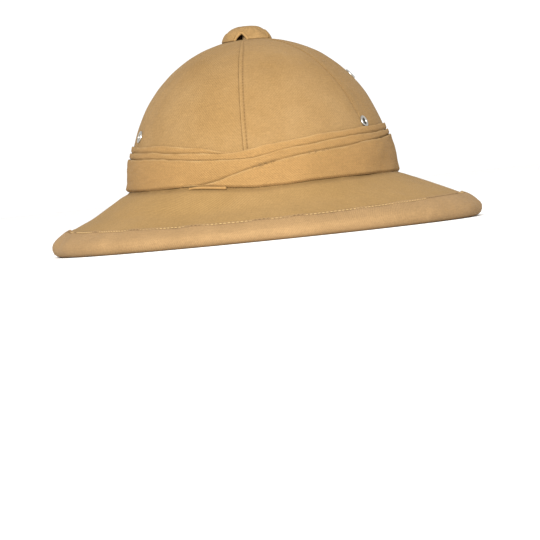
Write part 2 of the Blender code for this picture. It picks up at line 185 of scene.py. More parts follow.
def ease(value, low, high):
    """0 below low, 1 above high, and smooth between them."""
    share = np.clip((value - low) / (high - low), 0, 1)
    return share * share * (3 - 2 * share)


def hump(value, middle, width):
    """1 at the middle, and near 0 beyond the width on each side."""
    return np.exp(-(((value - middle) / width) ** 2))


def ripple(points, wavelength, seed, waves=7):
    """A smooth value at each point, mostly from -1 to 1, from a few waves that cross."""
    draw = np.random.default_rng(seed)
    total = np.zeros(points.shape[:-1])
    for _ in range(waves):
        direction = unit(draw.normal(size=3))
        phase = draw.uniform(0, 2 * np.pi)
        total += np.sin(points @ direction * 2 * np.pi / wavelength + phase)
    return total * math.sqrt(2 / waves) / 1.5


def grid_normals(points, closed=False):
    """Unit normals of a grid of points that face away from the hat's middle line."""
    if closed:
        padded_grid = np.concatenate([points[-1:], points, points[:1]])
        down_rows = np.gradient(padded_grid, axis=0)[1:-1]
    else:
        down_rows = np.gradient(points, axis=0)
    return unit(np.cross(down_rows, np.gradient(points, axis=1)))


# %% One closed wall from two grids
def new_object(name, mesh, material):
    """A smooth object in the scene, with one material."""
    made = bpy.data.objects.new(name, mesh)
    bpy.context.scene.collection.objects.link(made)
    mesh.materials.append(material)
    mesh.shade_smooth()
    return made


def facing_in(points, faces):
    """True where the four-sided faces of a closed body look inwards."""
    a, b, c, d = (points[faces[:, k]] for k in range(4))
    return np.einsum("ij,ij->i", a, np.cross(b, c) + np.cross(c, d)).sum() < 0


def cloth_wall(name, outside, inside, flat, material, closed=False, wear_and_shade=None):
    """A wall between two grids of points. flat holds the cloth's own flat measures in metres.

    A closed wall runs right round the hat, and its flat grid then has one row more.
    """
    rows, columns = outside.shape[:2]
    index = np.arange(rows * columns).reshape(rows, columns)
    if closed:
        index = np.concatenate([index, index[:1]])
    flat_index = np.arange(flat.shape[0] * columns).reshape(-1, columns)
    under = index + rows * columns

    def quads(grid):
        a, b = grid[:-1, :-1], grid[1:, :-1]
        c, d = grid[1:, 1:], grid[:-1, 1:]
        return np.stack([a, b, c, d], axis=-1).reshape(-1, 4)

    def strip(upper, lower):
        return np.stack([upper[:-1], upper[1:], lower[1:], lower[:-1]], axis=-1)

    faces = [quads(index), quads(under)[:, ::-1]]
    corners = [quads(flat_index), quads(flat_index)[:, ::-1]]
    for column, turn in ((0, -1), (-1, 1)):
        faces.append(strip(index[:, column], under[:, column])[:, ::turn])
        edge = flat_index[:, column]
        corners.append(strip(edge, edge)[:, ::turn])
    if not closed:
        for row, turn in ((0, 1), (-1, -1)):
            faces.append(strip(index[row], under[row])[:, ::turn])
            edge = flat_index[row]
            corners.append(strip(edge, edge)[:, ::turn])
    faces = np.concatenate(faces)
    corners = np.concatenate(corners)
    points = np.concatenate([outside.reshape(-1, 3), inside.reshape(-1, 3)])
    if facing_in(points, faces):
        faces = faces[:, ::-1]
        corners = corners[:, ::-1]
    mesh = bpy.data.meshes.new(name)
    mesh.from_pydata(points, [], faces.tolist())
    layer = mesh.uv_layers.new(name="flat")
    layer.data.foreach_set("uv", flat.reshape(-1, 2)[corners.ravel()].ravel())
    # This attribute holds pale rubbing where it is above zero and painted shade where it is below zero
    wear_and_shade_layer = mesh.attributes.new("wear_and_shade", "FLOAT", "POINT")
    values = np.zeros((rows, columns)) if wear_and_shade is None else wear_and_shade
    wear_and_shade_layer.data.foreach_set("value", np.concatenate([values.ravel()] * 2))
    mesh.validate()
    return new_object(name, mesh, material)


def closed_both_ways(name, grid, material):
    """A body whose grid of points runs round in both ways, like a ring's skin."""
    points = grid.reshape(-1, 3)
    index = np.arange(len(points)).reshape(grid.shape[:2])
    after = np.roll(index, -1, axis=0)
    faces = np.stack([index, after, np.roll(after, -1, axis=1), np.roll(index, -1, axis=1)], axis=-1)
    faces = faces.reshape(-1, 4)
    if facing_in(points - points.mean(axis=0), faces):
        faces = faces[:, ::-1]
    mesh = bpy.data.meshes.new(name)
    mesh.from_pydata(points, [], faces.tolist())
    made = new_object(name, mesh, material)
    mesh.set_sharp_from_angle(angle=math.radians(40))
    return made


def cloth_roll(name, path, radius, material, sides=20):
    """A thin roll of cloth along a path, with open ends."""
    run = unit(np.gradient(path, axis=0))
    side = unit(np.cross(run, (0, 0, 1)))
    over = np.cross(side, run)
    turn = (np.arange(sides) * 2 * np.pi / sides)[:, None, None]

    def skin(reach):
        return path + reach[:, None] * (np.cos(turn) * side + np.sin(turn) * over)

    grid = np.concatenate([skin(radius), skin(0.6 * radius)[:, ::-1]], axis=1)
    return closed_both_ways(name, grid, material)


def dress(piece, slot, *nodes):
    """Hides the frame nodes that a piece stands for, and makes it ride on the hat's one body."""
    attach(piece, "root")
    if nodes:
        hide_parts(*nodes)
    print(piece.name, len(piece.data.polygons), "faces")


# %% [markdown]
# ## Materials
#
# Every cloth here is the same cotton twill, a weave with fine slanting ribs. Real ribs are
# about half a millimetre apart, and a pixel of the picture is 0.7 mm, so the ribs are drawn
# 1.2 mm apart, as coarse as they need to be to show. Dyed cotton is matt, and its loose
# fibres scatter light at grazing angles, which greys the far edges of the hat. That is the
# shader's sheen. An image of cloth would be simpler, but nodes stay sharp from any distance.

# %% Colours and a helper for nodes
def linear(hex_colour):
    """An sRGB hex colour as the linear values that Blender's shaders use."""
    shares = [int(hex_colour[i : i + 2], 16) / 255 for i in (1, 3, 5)]
    made = [s / 12.92 if s <= 0.04045 else ((s + 0.055) / 1.055) ** 2.4 for s in shares]
    return (*made, 1.0)


def fill(tree, node, inputs):
    """Gives a node's sockets their values, or links from the outputs of other nodes."""
    for socket, value in inputs.items():
        if isinstance(value, bpy.types.NodeSocket):
            tree.links.new(value, node.inputs[socket])
        else:
            node.inputs[socket].default_value = value


def add_node(tree, kind, inputs=None, output=0, **settings):
    """Adds a node with its settings, fills its sockets, and returns one of its outputs."""
    node = tree.nodes.new("ShaderNode" + kind)
    for name, value in settings.items():
        setattr(node, name, value)
    fill(tree, node, inputs or {})
    return node.outputs[output]


def new_material(name):
    """A material's tree, its bare Principled shader, and places on the object to draw by."""
    made = bpy.data.materials.new(name)
    made.use_nodes = True
    tree = made.node_tree
    place = add_node(tree, "TexCoord", output="Object")
    return made, tree, tree.nodes["Principled BSDF"], place


COLOUR = {"output": 2, "data_type": "RGBA"}
TINT = {"output": 2, "data_type": "RGBA", "blend_type": "MULTIPLY"}

# %% Woven cotton twill
RIB_PITCH = 1.2 * MM
YARN_PITCH = 0.8 * MM
GRAIN_SIZE = 1.1 * MM
FIBRE_SIZE = 0.5 * MM
WOBBLE_SIZE = 4 * MM
SLUB_LENGTH = 9 * MM
STAIN_SIZE = 38 * MM
# Dark colour of the shade painted into crevices, stitch holes and under edges
SHADE_COLOUR = "#3A2410"


def twill(name, base, worn_colour, dusty, slant=1.0, rib_depth=0.10 * MM):
    """Dyed cotton twill. It gives the eye slanting ribs, slubs, a soft bloom, pale rubbed folds and shade
    painted into crevices.
    """
    made, tree, shader, place = new_material(name)
    flat = add_node(tree, "UVMap", uv_map="flat")
    u = add_node(tree, "SeparateXYZ", {"Vector": flat}, output="X")
    v = add_node(tree, "SeparateXYZ", {"Vector": flat}, output="Y")
    wear_and_shade = add_node(tree, "Attribute", output="Fac", attribute_name="wear_and_shade")

    # Ribs and yarns are sine waves over the cloth's flat measures, and a noise bends them
    wobble = add_node(tree, "TexNoise", {"Vector": place, "Scale": 1 / WOBBLE_SIZE})
    phase = add_node(tree, "Math", {0: wobble, 1: 2.2}, operation="MULTIPLY")
    across = add_node(tree, "Math", {0: v, 1: slant, 2: u}, operation="MULTIPLY_ADD")
    turns = 2 * math.pi / (RIB_PITCH * math.sqrt(1 + slant**2))
    ribs_at = add_node(tree, "Math", {0: across, 1: turns, 2: phase}, operation="MULTIPLY_ADD")
    ribs = add_node(tree, "Math", {0: ribs_at}, operation="SINE")
    turns = 2 * math.pi / YARN_PITCH
    yarns_at = add_node(tree, "Math", {0: v, 1: turns, 2: phase}, operation="MULTIPLY_ADD")
    yarns = add_node(tree, "Math", {0: yarns_at}, operation="SINE")
    weave = add_node(tree, "Math", {0: yarns, 1: 0.35, 2: ribs}, operation="MULTIPLY_ADD")

    slub_map = add_node(tree, "Mapping", {"Vector": flat, "Scale": (1 / SLUB_LENGTH, 1 / YARN_PITCH, 1)})
    slubs = add_node(tree, "TexNoise", {"Vector": slub_map, "Scale": 1.0})
    fibres = add_node(tree, "TexNoise", {"Vector": place, "Scale": 1 / FIBRE_SIZE, "Detail": 3.0})
    grain = add_node(tree, "TexNoise", {"Vector": place, "Scale": 1 / GRAIN_SIZE, "Detail": 2.0})
    cloudy = {"Vector": place, "Scale": 1 / STAIN_SIZE, "Detail": 4.0, "Roughness": 0.55}
    stains = add_node(tree, "TexNoise", cloudy)

    # Colour: dusty patches, then the shade of weave and grain, then pale rubbed folds and painted shade
    limits = {"Value": stains, "From Min": 0.35, "From Max": 0.7, "To Min": 0.0, "To Max": 0.55}
    patchy = add_node(tree, "MapRange", limits)
    cloth = add_node(tree, "Mix", {"Factor": patchy, 6: linear(base), 7: linear(dusty)}, **COLOUR)
    grain = add_node(tree, "Math", {0: slubs, 1: 0.6, 2: grain}, operation="MULTIPLY_ADD")
    grain = add_node(tree, "Math", {0: weave, 1: 0.16, 2: grain}, operation="MULTIPLY_ADD")
    limits = {"Value": grain, "From Min": 0.4, "From Max": 1.2, "To Min": 0.80, "To Max": 1.18}
    shade = add_node(tree, "MapRange", limits)
    shaded = add_node(tree, "Mix", {"Factor": 1.0, 6: cloth, 7: shade}, **TINT)
    rubbed = add_node(tree, "Mix", {"Factor": wear_and_shade, 6: shaded, 7: linear(worn_colour)}, **COLOUR)
    # Below zero, the attribute paints shade into crevices, stitch holes and under edges
    painted_shade = add_node(tree, "Math", {0: wear_and_shade, 1: -1.0}, operation="MULTIPLY")
    with_painted_shade = add_node(tree, "Mix", {"Factor": painted_shade, 6: rubbed, 7: linear(SHADE_COLOUR)}, **COLOUR)

    relief = add_node(tree, "Math", {0: fibres, 1: 0.8, 2: weave}, operation="MULTIPLY_ADD")
    fill(tree, shader, {
        "Base Color": with_painted_shade,
        "Roughness": add_node(tree, "MapRange", {"Value": fibres, "To Min": 0.82, "To Max": 0.96}),
        "Normal": add_node(tree, "Bump", {"Height": relief, "Distance": rib_depth, "Strength": 0.55}),
        "IOR": 1.46,
        "Specular IOR Level": 0.12,
        "Sheen Weight": 0.04,
        "Sheen Roughness": 0.45,
        "Sheen Tint": linear("#EBD2AC"),
    })
    return made


# The four twills are one cloth. Their small differences of colour are painted light and shade, each part's
# colour set lighter or darker for how light falls on it
crown_twill = twill("woven cotton twill, crown", "#785D38", "#8A6F48", "#866C48")
brim_twill = twill("woven cotton twill, brim", "#7F643C", "#91754A", "#8A6E46")
bias_twill = twill("cotton twill cut on the bias", "#7F6544", "#907655", "#8E724E", slant=0.6)
band_twill = twill("pressed cotton twill, band", "#7E613A", "#917751", "#8B6B42", rib_depth=0.16 * MM)

# %% [markdown]
# The seams are sewn with twisted cotton a shade darker than the cloth, and the binding with a
# paler one. The eyelets are brass pressed from sheet and nickel plated: grey from use, a little
# warm, with fine scratches and faint finger marks. The shell is pith, a spongy wood pressed in
# a mould: pale brown, quite matt, with flecks and short fibres.

# %% Thread, nickel and pith
def cotton_thread(name, colour):
    """Twisted cotton. It gives the eye small matt dashes with a slanting twist."""
    made, tree, shader, place = new_material(name)
    twist = add_node(tree, "TexNoise", {"Vector": place, "Scale": 1 / (0.35 * MM), "Detail": 2.0})
    shade = add_node(tree, "MapRange", {"Value": twist, "To Min": 0.75, "To Max": 1.1})
    fill(tree, shader, {
        "Base Color": add_node(tree, "Mix", {"Factor": 1.0, 6: linear(colour), 7: shade}, **TINT),
        "Normal": add_node(tree, "Bump", {"Height": twist, "Distance": 0.05 * MM, "Strength": 0.6}),
        "Roughness": 0.8,
        "Sheen Weight": 0.03,
        "Specular IOR Level": 0.15,
    })
    return made


def plated_nickel(name):
    """Used nickel plate. It gives the eye small grey reflections, softened by fine scratches."""
    made, tree, shader, place = new_material(name)
    smudges = add_node(tree, "TexNoise", {"Vector": place, "Scale": 1 / (2.5 * MM), "Detail": 3.0})
    long_way = {"Vector": place, "Scale": (1 / (4 * MM), 1 / (0.15 * MM), 1 / (0.15 * MM))}
    drawn_out = add_node(tree, "Mapping", long_way)
    scratches = add_node(tree, "TexNoise", {"Vector": drawn_out, "Scale": 1.0})
    limits = {"Value": smudges, "From Min": 0.3, "From Max": 0.7, "To Min": 0.22, "To Max": 0.42}
    tones = {"Factor": smudges, 6: linear("#B4B1AA"), 7: linear("#98948C")}
    fill(tree, shader, {
        "Base Color": add_node(tree, "Mix", tones, **COLOUR),
        "Roughness": add_node(tree, "MapRange", limits),
        "Normal": add_node(tree, "Bump", {"Height": scratches, "Distance": 0.01 * MM, "Strength": 0.35}),
        "Metallic": 1.0,
    })
    return made


def pressed_pith(name):
    """Pith pressed in a mould. It gives the eye a pale, matt, corky face with brown flecks."""
    made, tree, shader, place = new_material(name)
    clouds = add_node(tree, "TexNoise", {"Vector": place, "Scale": 1 / (25 * MM), "Detail": 5.0})
    cells = add_node(tree, "TexVoronoi", {"Vector": place, "Scale": 1 / (2.4 * MM), "Randomness": 1.0})
    limits = {"Value": cells, "From Min": 0.05, "From Max": 0.22, "To Min": 0.45, "To Max": 0.0}
    flecks = add_node(tree, "MapRange", limits)
    tones = {"Factor": clouds, 6: linear("#C6A87C"), 7: linear("#AC8C62")}
    body = add_node(tree, "Mix", tones, **COLOUR)
    flecked = {"Factor": flecks, 6: body, 7: linear("#7E5F3C")}
    fill(tree, shader, {
        "Base Color": add_node(tree, "Mix", flecked, **COLOUR),
        "Normal": add_node(tree, "Bump", {"Height": cells, "Distance": 0.25 * MM, "Strength": 0.5}),
        "Roughness": 0.95,
        "Specular IOR Level": 0.2,
    })
    return made


sewing_thread = cotton_thread("twisted cotton thread", "#765B37")
binding_thread = cotton_thread("paler twisted cotton thread", "#A3875A")
nickel = plated_nickel("nickel plate over pressed brass")
pith = pressed_pith("pith pressed in a mould")

# %% [markdown]
# ## Eyelets, placed first
#
# An eyelet clamps the cloth round it, so the panels need to know where the eyelets are before
# they are made. Each stands square to the dome.

# %% Where the eyelets are
EYELET_RADIUS = 4.3 * MM
EyeletRow = namedtuple("EyeletRow", "name angle height")
EYELETS = []
for corner in ("lower_right", "lower_left", "upper_right", "upper_left"):
    low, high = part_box("eyelet_" + corner)
    middle = (low + high) / 2
    turn = math.degrees(math.atan2(middle.x / crown_half_width, -middle.y / crown_half_length))
    EYELETS.append(EyeletRow(corner, turn, middle.z - base_height))
    print("eyelet", corner, "at", round(turn, 1), "degrees,", round(middle.z / MM, 1), "mm up")


def eyelet_frame(row):
    """Middle of an eyelet on the dome, and the direction it faces."""
    rise = rise_of(row.height)
    step = 0.5
    middle = crown_points(row.angle, rise)
    along = crown_points(row.angle + step, rise) - crown_points(row.angle - step, rise)
    upwards = crown_points(row.angle, rise + step) - crown_points(row.angle, rise - step)
    return middle, unit(np.cross(along, upwards))


def clear_of_eyelets(points):
    """1 on free cloth, falling to 0 under the flange of an eyelet."""
    free = np.ones(points.shape[:-1])
    for row in EYELETS:
        away = np.linalg.norm(points - eyelet_frame(row)[0], axis=-1)
        free = np.minimum(free, ease(away, EYELET_RADIUS, 2.2 * EYELET_RADIUS))
    return free


# %% [markdown]
# ## The crown's six panels
#
# Each panel is cut like a petal. Along one side its edge is folded under and laps over the
# panel before it, and a row of stitches runs beside that fold. The lap stands about half a
# millimetre proud, which is the thin line that a seam shows. A seam could be a groove painted
# with bump, but then it would vanish at the hat's outline, so it is real relief.

# %% Seams of the crown
SeamRow = namedtuple("SeamRow", "name foot top lean stitched")
SEAMS = (
    SeamRow(name="front_right", foot=0, top=0, lean=-0.028, stitched=1),
    SeamRow(name="side_right", foot=65, top=54, lean=0, stitched=0),
    SeamRow(name="back_right", foot=115, top=126, lean=0, stitched=0),
    SeamRow(name="back_left", foot=180, top=180, lean=0, stitched=1),
    SeamRow(name="side_left", foot=245, top=234, lean=0, stitched=0),
    SeamRow(name="front_left", foot=290, top=303, lean=0, stitched=0),
)
CLOTH = 1.0 * MM
PANEL_TOP_RADIUS = 7.5 * MM
LAP_WIDTH = 5.0 * MM
LAP_RISE = 0.5 * MM
PLAIN_LAP_RISE = 0.14 * MM
TUCK_UNDER = 4.0 * MM
STITCH_INSET = 2.7 * MM
STITCH_PITCH = 2.8 * MM
STITCH_GROOVE = 0.22 * MM
TUCK_SINK = 0.28 * MM
TUCK_END_SINK = 0.3 * MM
SEAM_PUCKER = 0.10 * MM
NARROW_PANEL = 45 * MM
FOLD_ROUNDING = 0.4 * MM


def seam_angle(seam, rise):
    """Degrees round the hat of a seam's folded edge, at degrees up the dome."""
    share = np.sin(np.radians(rise))
    radius = crown_half_length * np.cos(np.radians(rise)) ** CROWN_FULLNESS
    lean = np.degrees(seam.lean * crown_height * share / radius)
    return seam.foot + (seam.top - seam.foot) * share + lean


# %% Where the columns of a panel lie
def column_distances():
    """Distances of a panel's columns from its folded edge and before its tucked edge."""
    from_fold = [0, 0.08, 0.2, 0.35, 0.6, 1.0, 1.5, 1.9, 2.2, 2.45, 2.7, 2.95, 3.2, 3.5, 4, 5, 6, 7.5, 9.5]
    before_tuck = [12, 9, 7, 5.5, 4, 3, 2, 1.2, 0.6, 0, -0.8, -1.8, -3, -4]
    return np.array(from_fold) * MM, np.array(before_tuck) * MM


# %% One panel, with its lap, groove and tucked edge
def panel(seam, following, rows=170, middle_columns=18):
    """One panel of the crown's cloth, from its folded edge to its tucked one."""
    share = np.linspace(0, 1, rows)
    foot = rise_of(base_height * (BRIM_TOP_UP * dip(0, seam.foot + 30) - 1) + 0.6 * MM)
    rise = foot + (rise_at_radius(PANEL_TOP_RADIUS) - foot) * share
    start = seam_angle(seam, rise)
    stop = seam_angle(following, rise)
    stop = np.where(stop < start, stop + 360, stop)
    from_fold, before_tuck = column_distances()
    middle = (start + stop) / 2
    reach = np.linalg.norm(crown_points(middle + 0.5, rise) - crown_points(middle - 0.5, rise), axis=-1)
    width = (stop - start) * reach
    tight = np.minimum(1, width / NARROW_PANEL)
    left = start + from_fold[:, None] * tight / reach
    right = stop - before_tuck[:, None] * tight / reach
    inner = np.linspace(0, 1, middle_columns + 2)[1:-1, None]
    angles = np.concatenate([left, left[-1] + (right[0] - left[-1]) * inner, right])
    rises = np.broadcast_to(rise, angles.shape)
    fold_away = (angles - start) * reach / tight
    tuck_away = (stop - angles) * reach / tight

    base = crown_points(angles, rises)
    height = lengths_along(crown_points(middle, rise))
    free = clear_of_eyelets(base)
    rise_of_lap = LAP_RISE if seam.stitched else PLAIN_LAP_RISE
    lap = rise_of_lap * (1 - ease(fold_away, LAP_WIDTH, LAP_WIDTH * 1.8))
    sunk = TUCK_SINK * (1 - ease(tuck_away, 0, 3 * MM))
    sunk = sunk + TUCK_END_SINK * (1 - ease(tuck_away, -3 * MM, 0))
    beat = np.cos(2 * np.pi * height / STITCH_PITCH)
    holes = (0.5 + 0.5 * beat) ** 3
    row_of_stitches = seam.stitched * hump(fold_away, STITCH_INSET, 0.5 * MM)
    groove = STITCH_GROOVE * row_of_stitches * (0.45 + 0.55 * holes)
    pucker = SEAM_PUCKER * seam.stitched * beat * hump(fold_away, 0, 3 * MM)
    soft = 0.16 * MM * ripple(base, 34 * MM, 11) + 0.07 * MM * ripple(base, 13 * MM, 12)
    lift = free * (lap - groove - pucker + soft) - sunk
    thickness = CLOTH - 0.3 * MM * (1 - ease(fold_away, LAP_WIDTH, LAP_WIDTH * 1.7))
    thickness = thickness - 0.45 * MM * (1 - ease(tuck_away, 0, 3 * MM))
    edge = np.minimum(fold_away, tuck_away + TUCK_UNDER)
    rounding = 0.25 + 0.75 * np.sqrt(1 - (1 - np.clip(edge / FOLD_ROUNDING, 0, 1)) ** 2)
    lost = thickness * (1 - rounding) / 2
    outside = crown_points(angles, rises, lift - lost)
    inside = crown_points(angles, rises, lift - thickness + lost)
    flat = np.stack([(angles - middle) * reach, np.broadcast_to(height, angles.shape)], axis=-1)
    # Painted shade: a dark line where the next panel's fold laps over the tucked edge, in the stitch
    # groove and holes, and along the plain seams' folds; the stitched folds get pale rubbing
    painted_shade = 0.85 * hump(tuck_away, -0.1 * MM, 0.55 * MM) * (0.75 + 0.25 * ripple(base, 9 * MM, 13))
    painted_shade = painted_shade * (1.0 if following.stitched else 0.55)
    painted_shade = painted_shade + row_of_stitches * (0.25 + 0.45 * holes)
    painted_shade = painted_shade + 0.22 * (1 - seam.stitched) * hump(fold_away, 0.2 * MM, 0.7 * MM) * free
    wear_and_shade = 0.25 * seam.stitched * hump(fold_away, 0.5 * MM, 0.5 * MM) * free - painted_shade
    area = float((width * np.gradient(height)).sum())
    groove_angle = start + STITCH_INSET * tight / reach
    groove_line = crown_points(groove_angle, rise, LAP_RISE - 0.6 * STITCH_GROOVE)
    made = cloth_wall("crown_panel_" + seam.name, outside, inside, flat, crown_twill, wear_and_shade=wear_and_shade)
    return made, (float(width.max()), float(height[-1])), area, (groove_line, height)


# %% All six panels
panels = []
stitch_lines = []
for seam, following in zip(SEAMS, SEAMS[1:] + SEAMS[:1]):
    made, cut, area, stitch_line = panel(seam, following)
    dress(made, "crown_cloth", "gore_" + seam.name)
    panels.append(made)
    if seam.stitched:
        stitch_lines.append(stitch_line)
    print("  cut", [round(side / MM) for side in cut], "mm, area", round(area * 1e4), "square cm")

# %% [markdown]
# ## The brim's cloth
#
# One ring of twill lies on the brim, from the foot of the crown to the binding. Its profile
# is a smooth curve through five points, turned round the hat. It is glued down, so only very
# soft waves show in it. Round the foot of the crown it climbs a little way, most of all at the
# front left, where the hem of the hat band runs high.

# %% Profiles of the brim and its binding
BrimRow = namedtuple("BrimRow", "out up")
BRIM_TOP = (
    BrimRow(out=0.002, up=BRIM_TOP_UP),
    BrimRow(out=0.030, up=0.971),
    BrimRow(out=0.128, up=0.901),
    BrimRow(out=0.450, up=0.670),
    BrimRow(out=0.800, up=0.422),
)

# The binding's outside, from its upper edge round the rim to its edge under the brim
BINDING = (
    BrimRow(out=0.772, up=0.462),
    BrimRow(out=0.879, up=0.392),
    BrimRow(out=0.950, up=0.312),
    BrimRow(out=0.993, up=0.236),
    BrimRow(out=1.000, up=0.149),
    BrimRow(out=0.980, up=0.063),
    BrimRow(out=0.935, up=0.015),
    BrimRow(out=0.880, up=0.003),
    BrimRow(out=0.770, up=0.003),
    BrimRow(out=0.632, up=0.225),
)


def profile(rows, count):
    """Radius and height, at the hat's sides, of points along a brim table."""
    points = [(crown_half_width + row.out * brim_reach, row.up * base_height) for row in rows]
    return smooth_line(points, count)


def turned(line, angles):
    """A profile of radius and height carried round the hat, as a grid of points."""
    return brim_points(line[None, :, 0], line[None, :, 1], angles[:, None])


def round_the_hat(steps):
    """Even steps in degrees round the hat."""
    return np.arange(steps) * 360 / steps


# %% The brim's cloth
FILLET_REACH = 30 * MM
FilletRow = namedtuple("FilletRow", "angle height")
# Millimetres by which the cloth climbs the foot of the crown
FILLET = (
    FilletRow(-180, 0), FilletRow(-120, 1.5), FilletRow(-86, 2.6), FilletRow(-60, 3.2),
    FilletRow(-48, 3.7), FilletRow(-36, 4.6), FilletRow(-25, 5.2), FilletRow(-14, 4.4),
    FilletRow(-6, 3.0), FilletRow(4, 1.5), FilletRow(26, 1.8), FilletRow(40, 1.2),
    FilletRow(60, 0.3), FilletRow(90, 0), FilletRow(180, 0),
)


def brim_cloth(steps=480, count=58):
    """The ring of cloth on the brim, and its area."""
    angles = round_the_hat(steps)
    line = profile(BRIM_TOP, count)
    top = turned(line, angles)
    normals = grid_normals(top, closed=True)
    normals *= np.sign(normals[..., 2:])
    soft = 0.22 * MM * ripple(top, 46 * MM, 21) + 0.08 * MM * ripple(top, 17 * MM, 22)
    turn = (angles + 180) % 360 - 180
    at_foot = MM * np.interp(turn, [row.angle for row in FILLET], [row.height for row in FILLET])
    fading = 1 - ease(line[:, 0], crown_half_width + 2 * MM, crown_half_width + FILLET_REACH)
    top = top + [0, 0, 1] * (at_foot[:, None] * fading)[..., None]
    outside = top + normals * (soft - 0.05 * MM)[..., None]
    inside = top - normals * CLOTH
    around = np.linspace(0, 2 * np.pi, steps + 1)[:, None]
    across = np.broadcast_to(line[:, 0], (steps + 1, count))
    flat = np.stack([across * np.sin(around), -across * np.cos(around)], axis=-1)
    edge_radius = crown_half_width + BINDING[0].out * brim_reach
    # Painted shade at the foot of the crown under the band's hem, and where the binding's upper edge meets
    # the brim
    shade_under_hem = 0.5 * hump(line[:, 0], crown_half_width, 4 * MM)
    painted_shade = shade_under_hem + 0.8 * hump(line[:, 0], edge_radius, 1.5 * MM)
    wear_and_shade = -painted_shade * (0.8 + 0.2 * ripple(top, 11 * MM, 23))
    made = cloth_wall("brim_cloth", outside, inside, flat, brim_twill, closed=True, wear_and_shade=wear_and_shade)
    rings = (line[:, 0] + stretch / 2) * 2 * np.pi
    area = float((rings * np.gradient(lengths_along(line))).sum())
    return made, area


# %% The brim made, and its flat size
brim, brim_area = brim_cloth()
dress(brim, "crown_cloth", "brim_cover")
print("brim ring area", round(brim_area * 1e4), "square cm")

# %% [markdown]
# ## The binding
#
# A strip of the same twill, cut on the bias so that it can bend, is folded round the thick
# rim and stitched down along its upper edge. The stitches pull it into fine puckers, and at
# one place on the left its edge gapes a little. The strip's points are crowded towards
# its two edges, because all that the eye sees of its thickness is there.

# %% The binding
EDGE_STITCH_INSET = 2.0 * MM
GAPE_ANGLE = -72
GAPE_WIDTH = 3.2
GAPE = 1.3 * MM
LIP_RISE = 0.5 * MM
PUCKER = 0.12 * MM
BINDING_STEPS = 1440


def round_ends(away, length, thickness):
    """Share of a wall's thickness that is left near its two round ends."""
    edge = np.minimum(away, length - away)
    return 0.25 + 0.75 * np.sqrt(1 - (1 - np.clip(edge / (thickness / 2), 0, 1)) ** 2)


def dense_ends(line, count):
    """The line again, with its points crowded towards its two ends."""
    along = lengths_along(line)
    where = along[-1] * (0.5 - 0.5 * np.cos(np.linspace(0, np.pi, count)))
    return at_lengths(where, along, line)


# %% The folded strip
def edge_of_binding(angles):
    """Length round the hat of the binding's upper edge, at each angle."""
    ring = brim_points(crown_half_width + BINDING[0].out * brim_reach, BINDING[0].up * base_height, angles)
    return lengths_along(ring)


def binding(steps=BINDING_STEPS, count=30):
    """The strip folded round the rim, with its width and its length."""
    angles = np.linspace(0, 360, steps + 1)
    around = edge_of_binding(angles)
    stitches = round(around[-1] / STITCH_PITCH)
    line = dense_ends(profile(BINDING, 400), count)
    away = lengths_along(line)
    skin = turned(line, angles[:-1])
    normal_line = line_normals(line)
    tip = turned(line + normal_line * MM, angles[:-1])
    normals = unit(tip - skin)
    beat = np.cos(2 * np.pi * stitches * around[:-1, None] / around[-1])
    near_edge = hump(away, 0, 5 * MM)
    groove = 1.6 * STITCH_GROOVE * hump(away, EDGE_STITCH_INSET, 0.8 * MM) * (0.6 + 0.4 * beat)
    pucker = PUCKER * beat * near_edge
    waves = 0.22 * MM * ripple(skin, 24 * MM, 31) + 0.1 * MM * ripple(skin, 9 * MM, 32)
    free = ease(skin[..., 2], 1 * MM, 6 * MM)
    gape = GAPE * hump(angles[:-1, None], GAPE_ANGLE % 360, GAPE_WIDTH) * hump(away, 0, 2.6 * MM)
    lip = LIP_RISE * near_edge * (1 + 0.5 * ripple(skin, 19 * MM, 33))
    lift = (waves - groove - pucker) * free + lip + gape
    left = round_ends(away, away[-1], CLOTH)
    lost = CLOTH * (1 - left) / 2
    outside = skin + normals * (lift - lost)[..., None]
    inside = skin + normals * (lift * near_edge - CLOTH + lost)[..., None]
    outside[..., 2] = np.maximum(outside[..., 2], 0.02 * MM)
    bias = np.stack(np.broadcast_arrays(around[:, None], away[None, :]), axis=-1)
    # Painted shade in the stitch holes below the upper edge, and pale rubbing along that edge
    holes = hump(away, EDGE_STITCH_INSET, 0.8 * MM) * (0.6 - 0.3 * beat)
    wear_and_shade = 0.3 * hump(away, 0.6 * MM, 0.6 * MM) - holes
    made = cloth_wall("rim_binding_cloth", outside, inside, bias, bias_twill, closed=True, wear_and_shade=wear_and_shade)
    return made, float(away[-1]), float(around[-1])


# %% The binding made, and its flat size
bound, strip_width, strip_length = binding()
dress(bound, "binding_cloth", "rim_binding")
print("binding strip", round(strip_width / MM), "x", round(strip_length / MM), "mm")

# %% [markdown]
# ## The wound hat band
#
# The band is one long cloth, folded in pleats and wound round the crown. Each turn laps over
# the one above it, and its end crosses the front in a long wedge. A turn is made as a wall of
# folded cloth whose upper edge is round and stands a little off the turn behind it, so that a
# dark line shows above each fold. Tables give the height of each fold's edge round the hat.

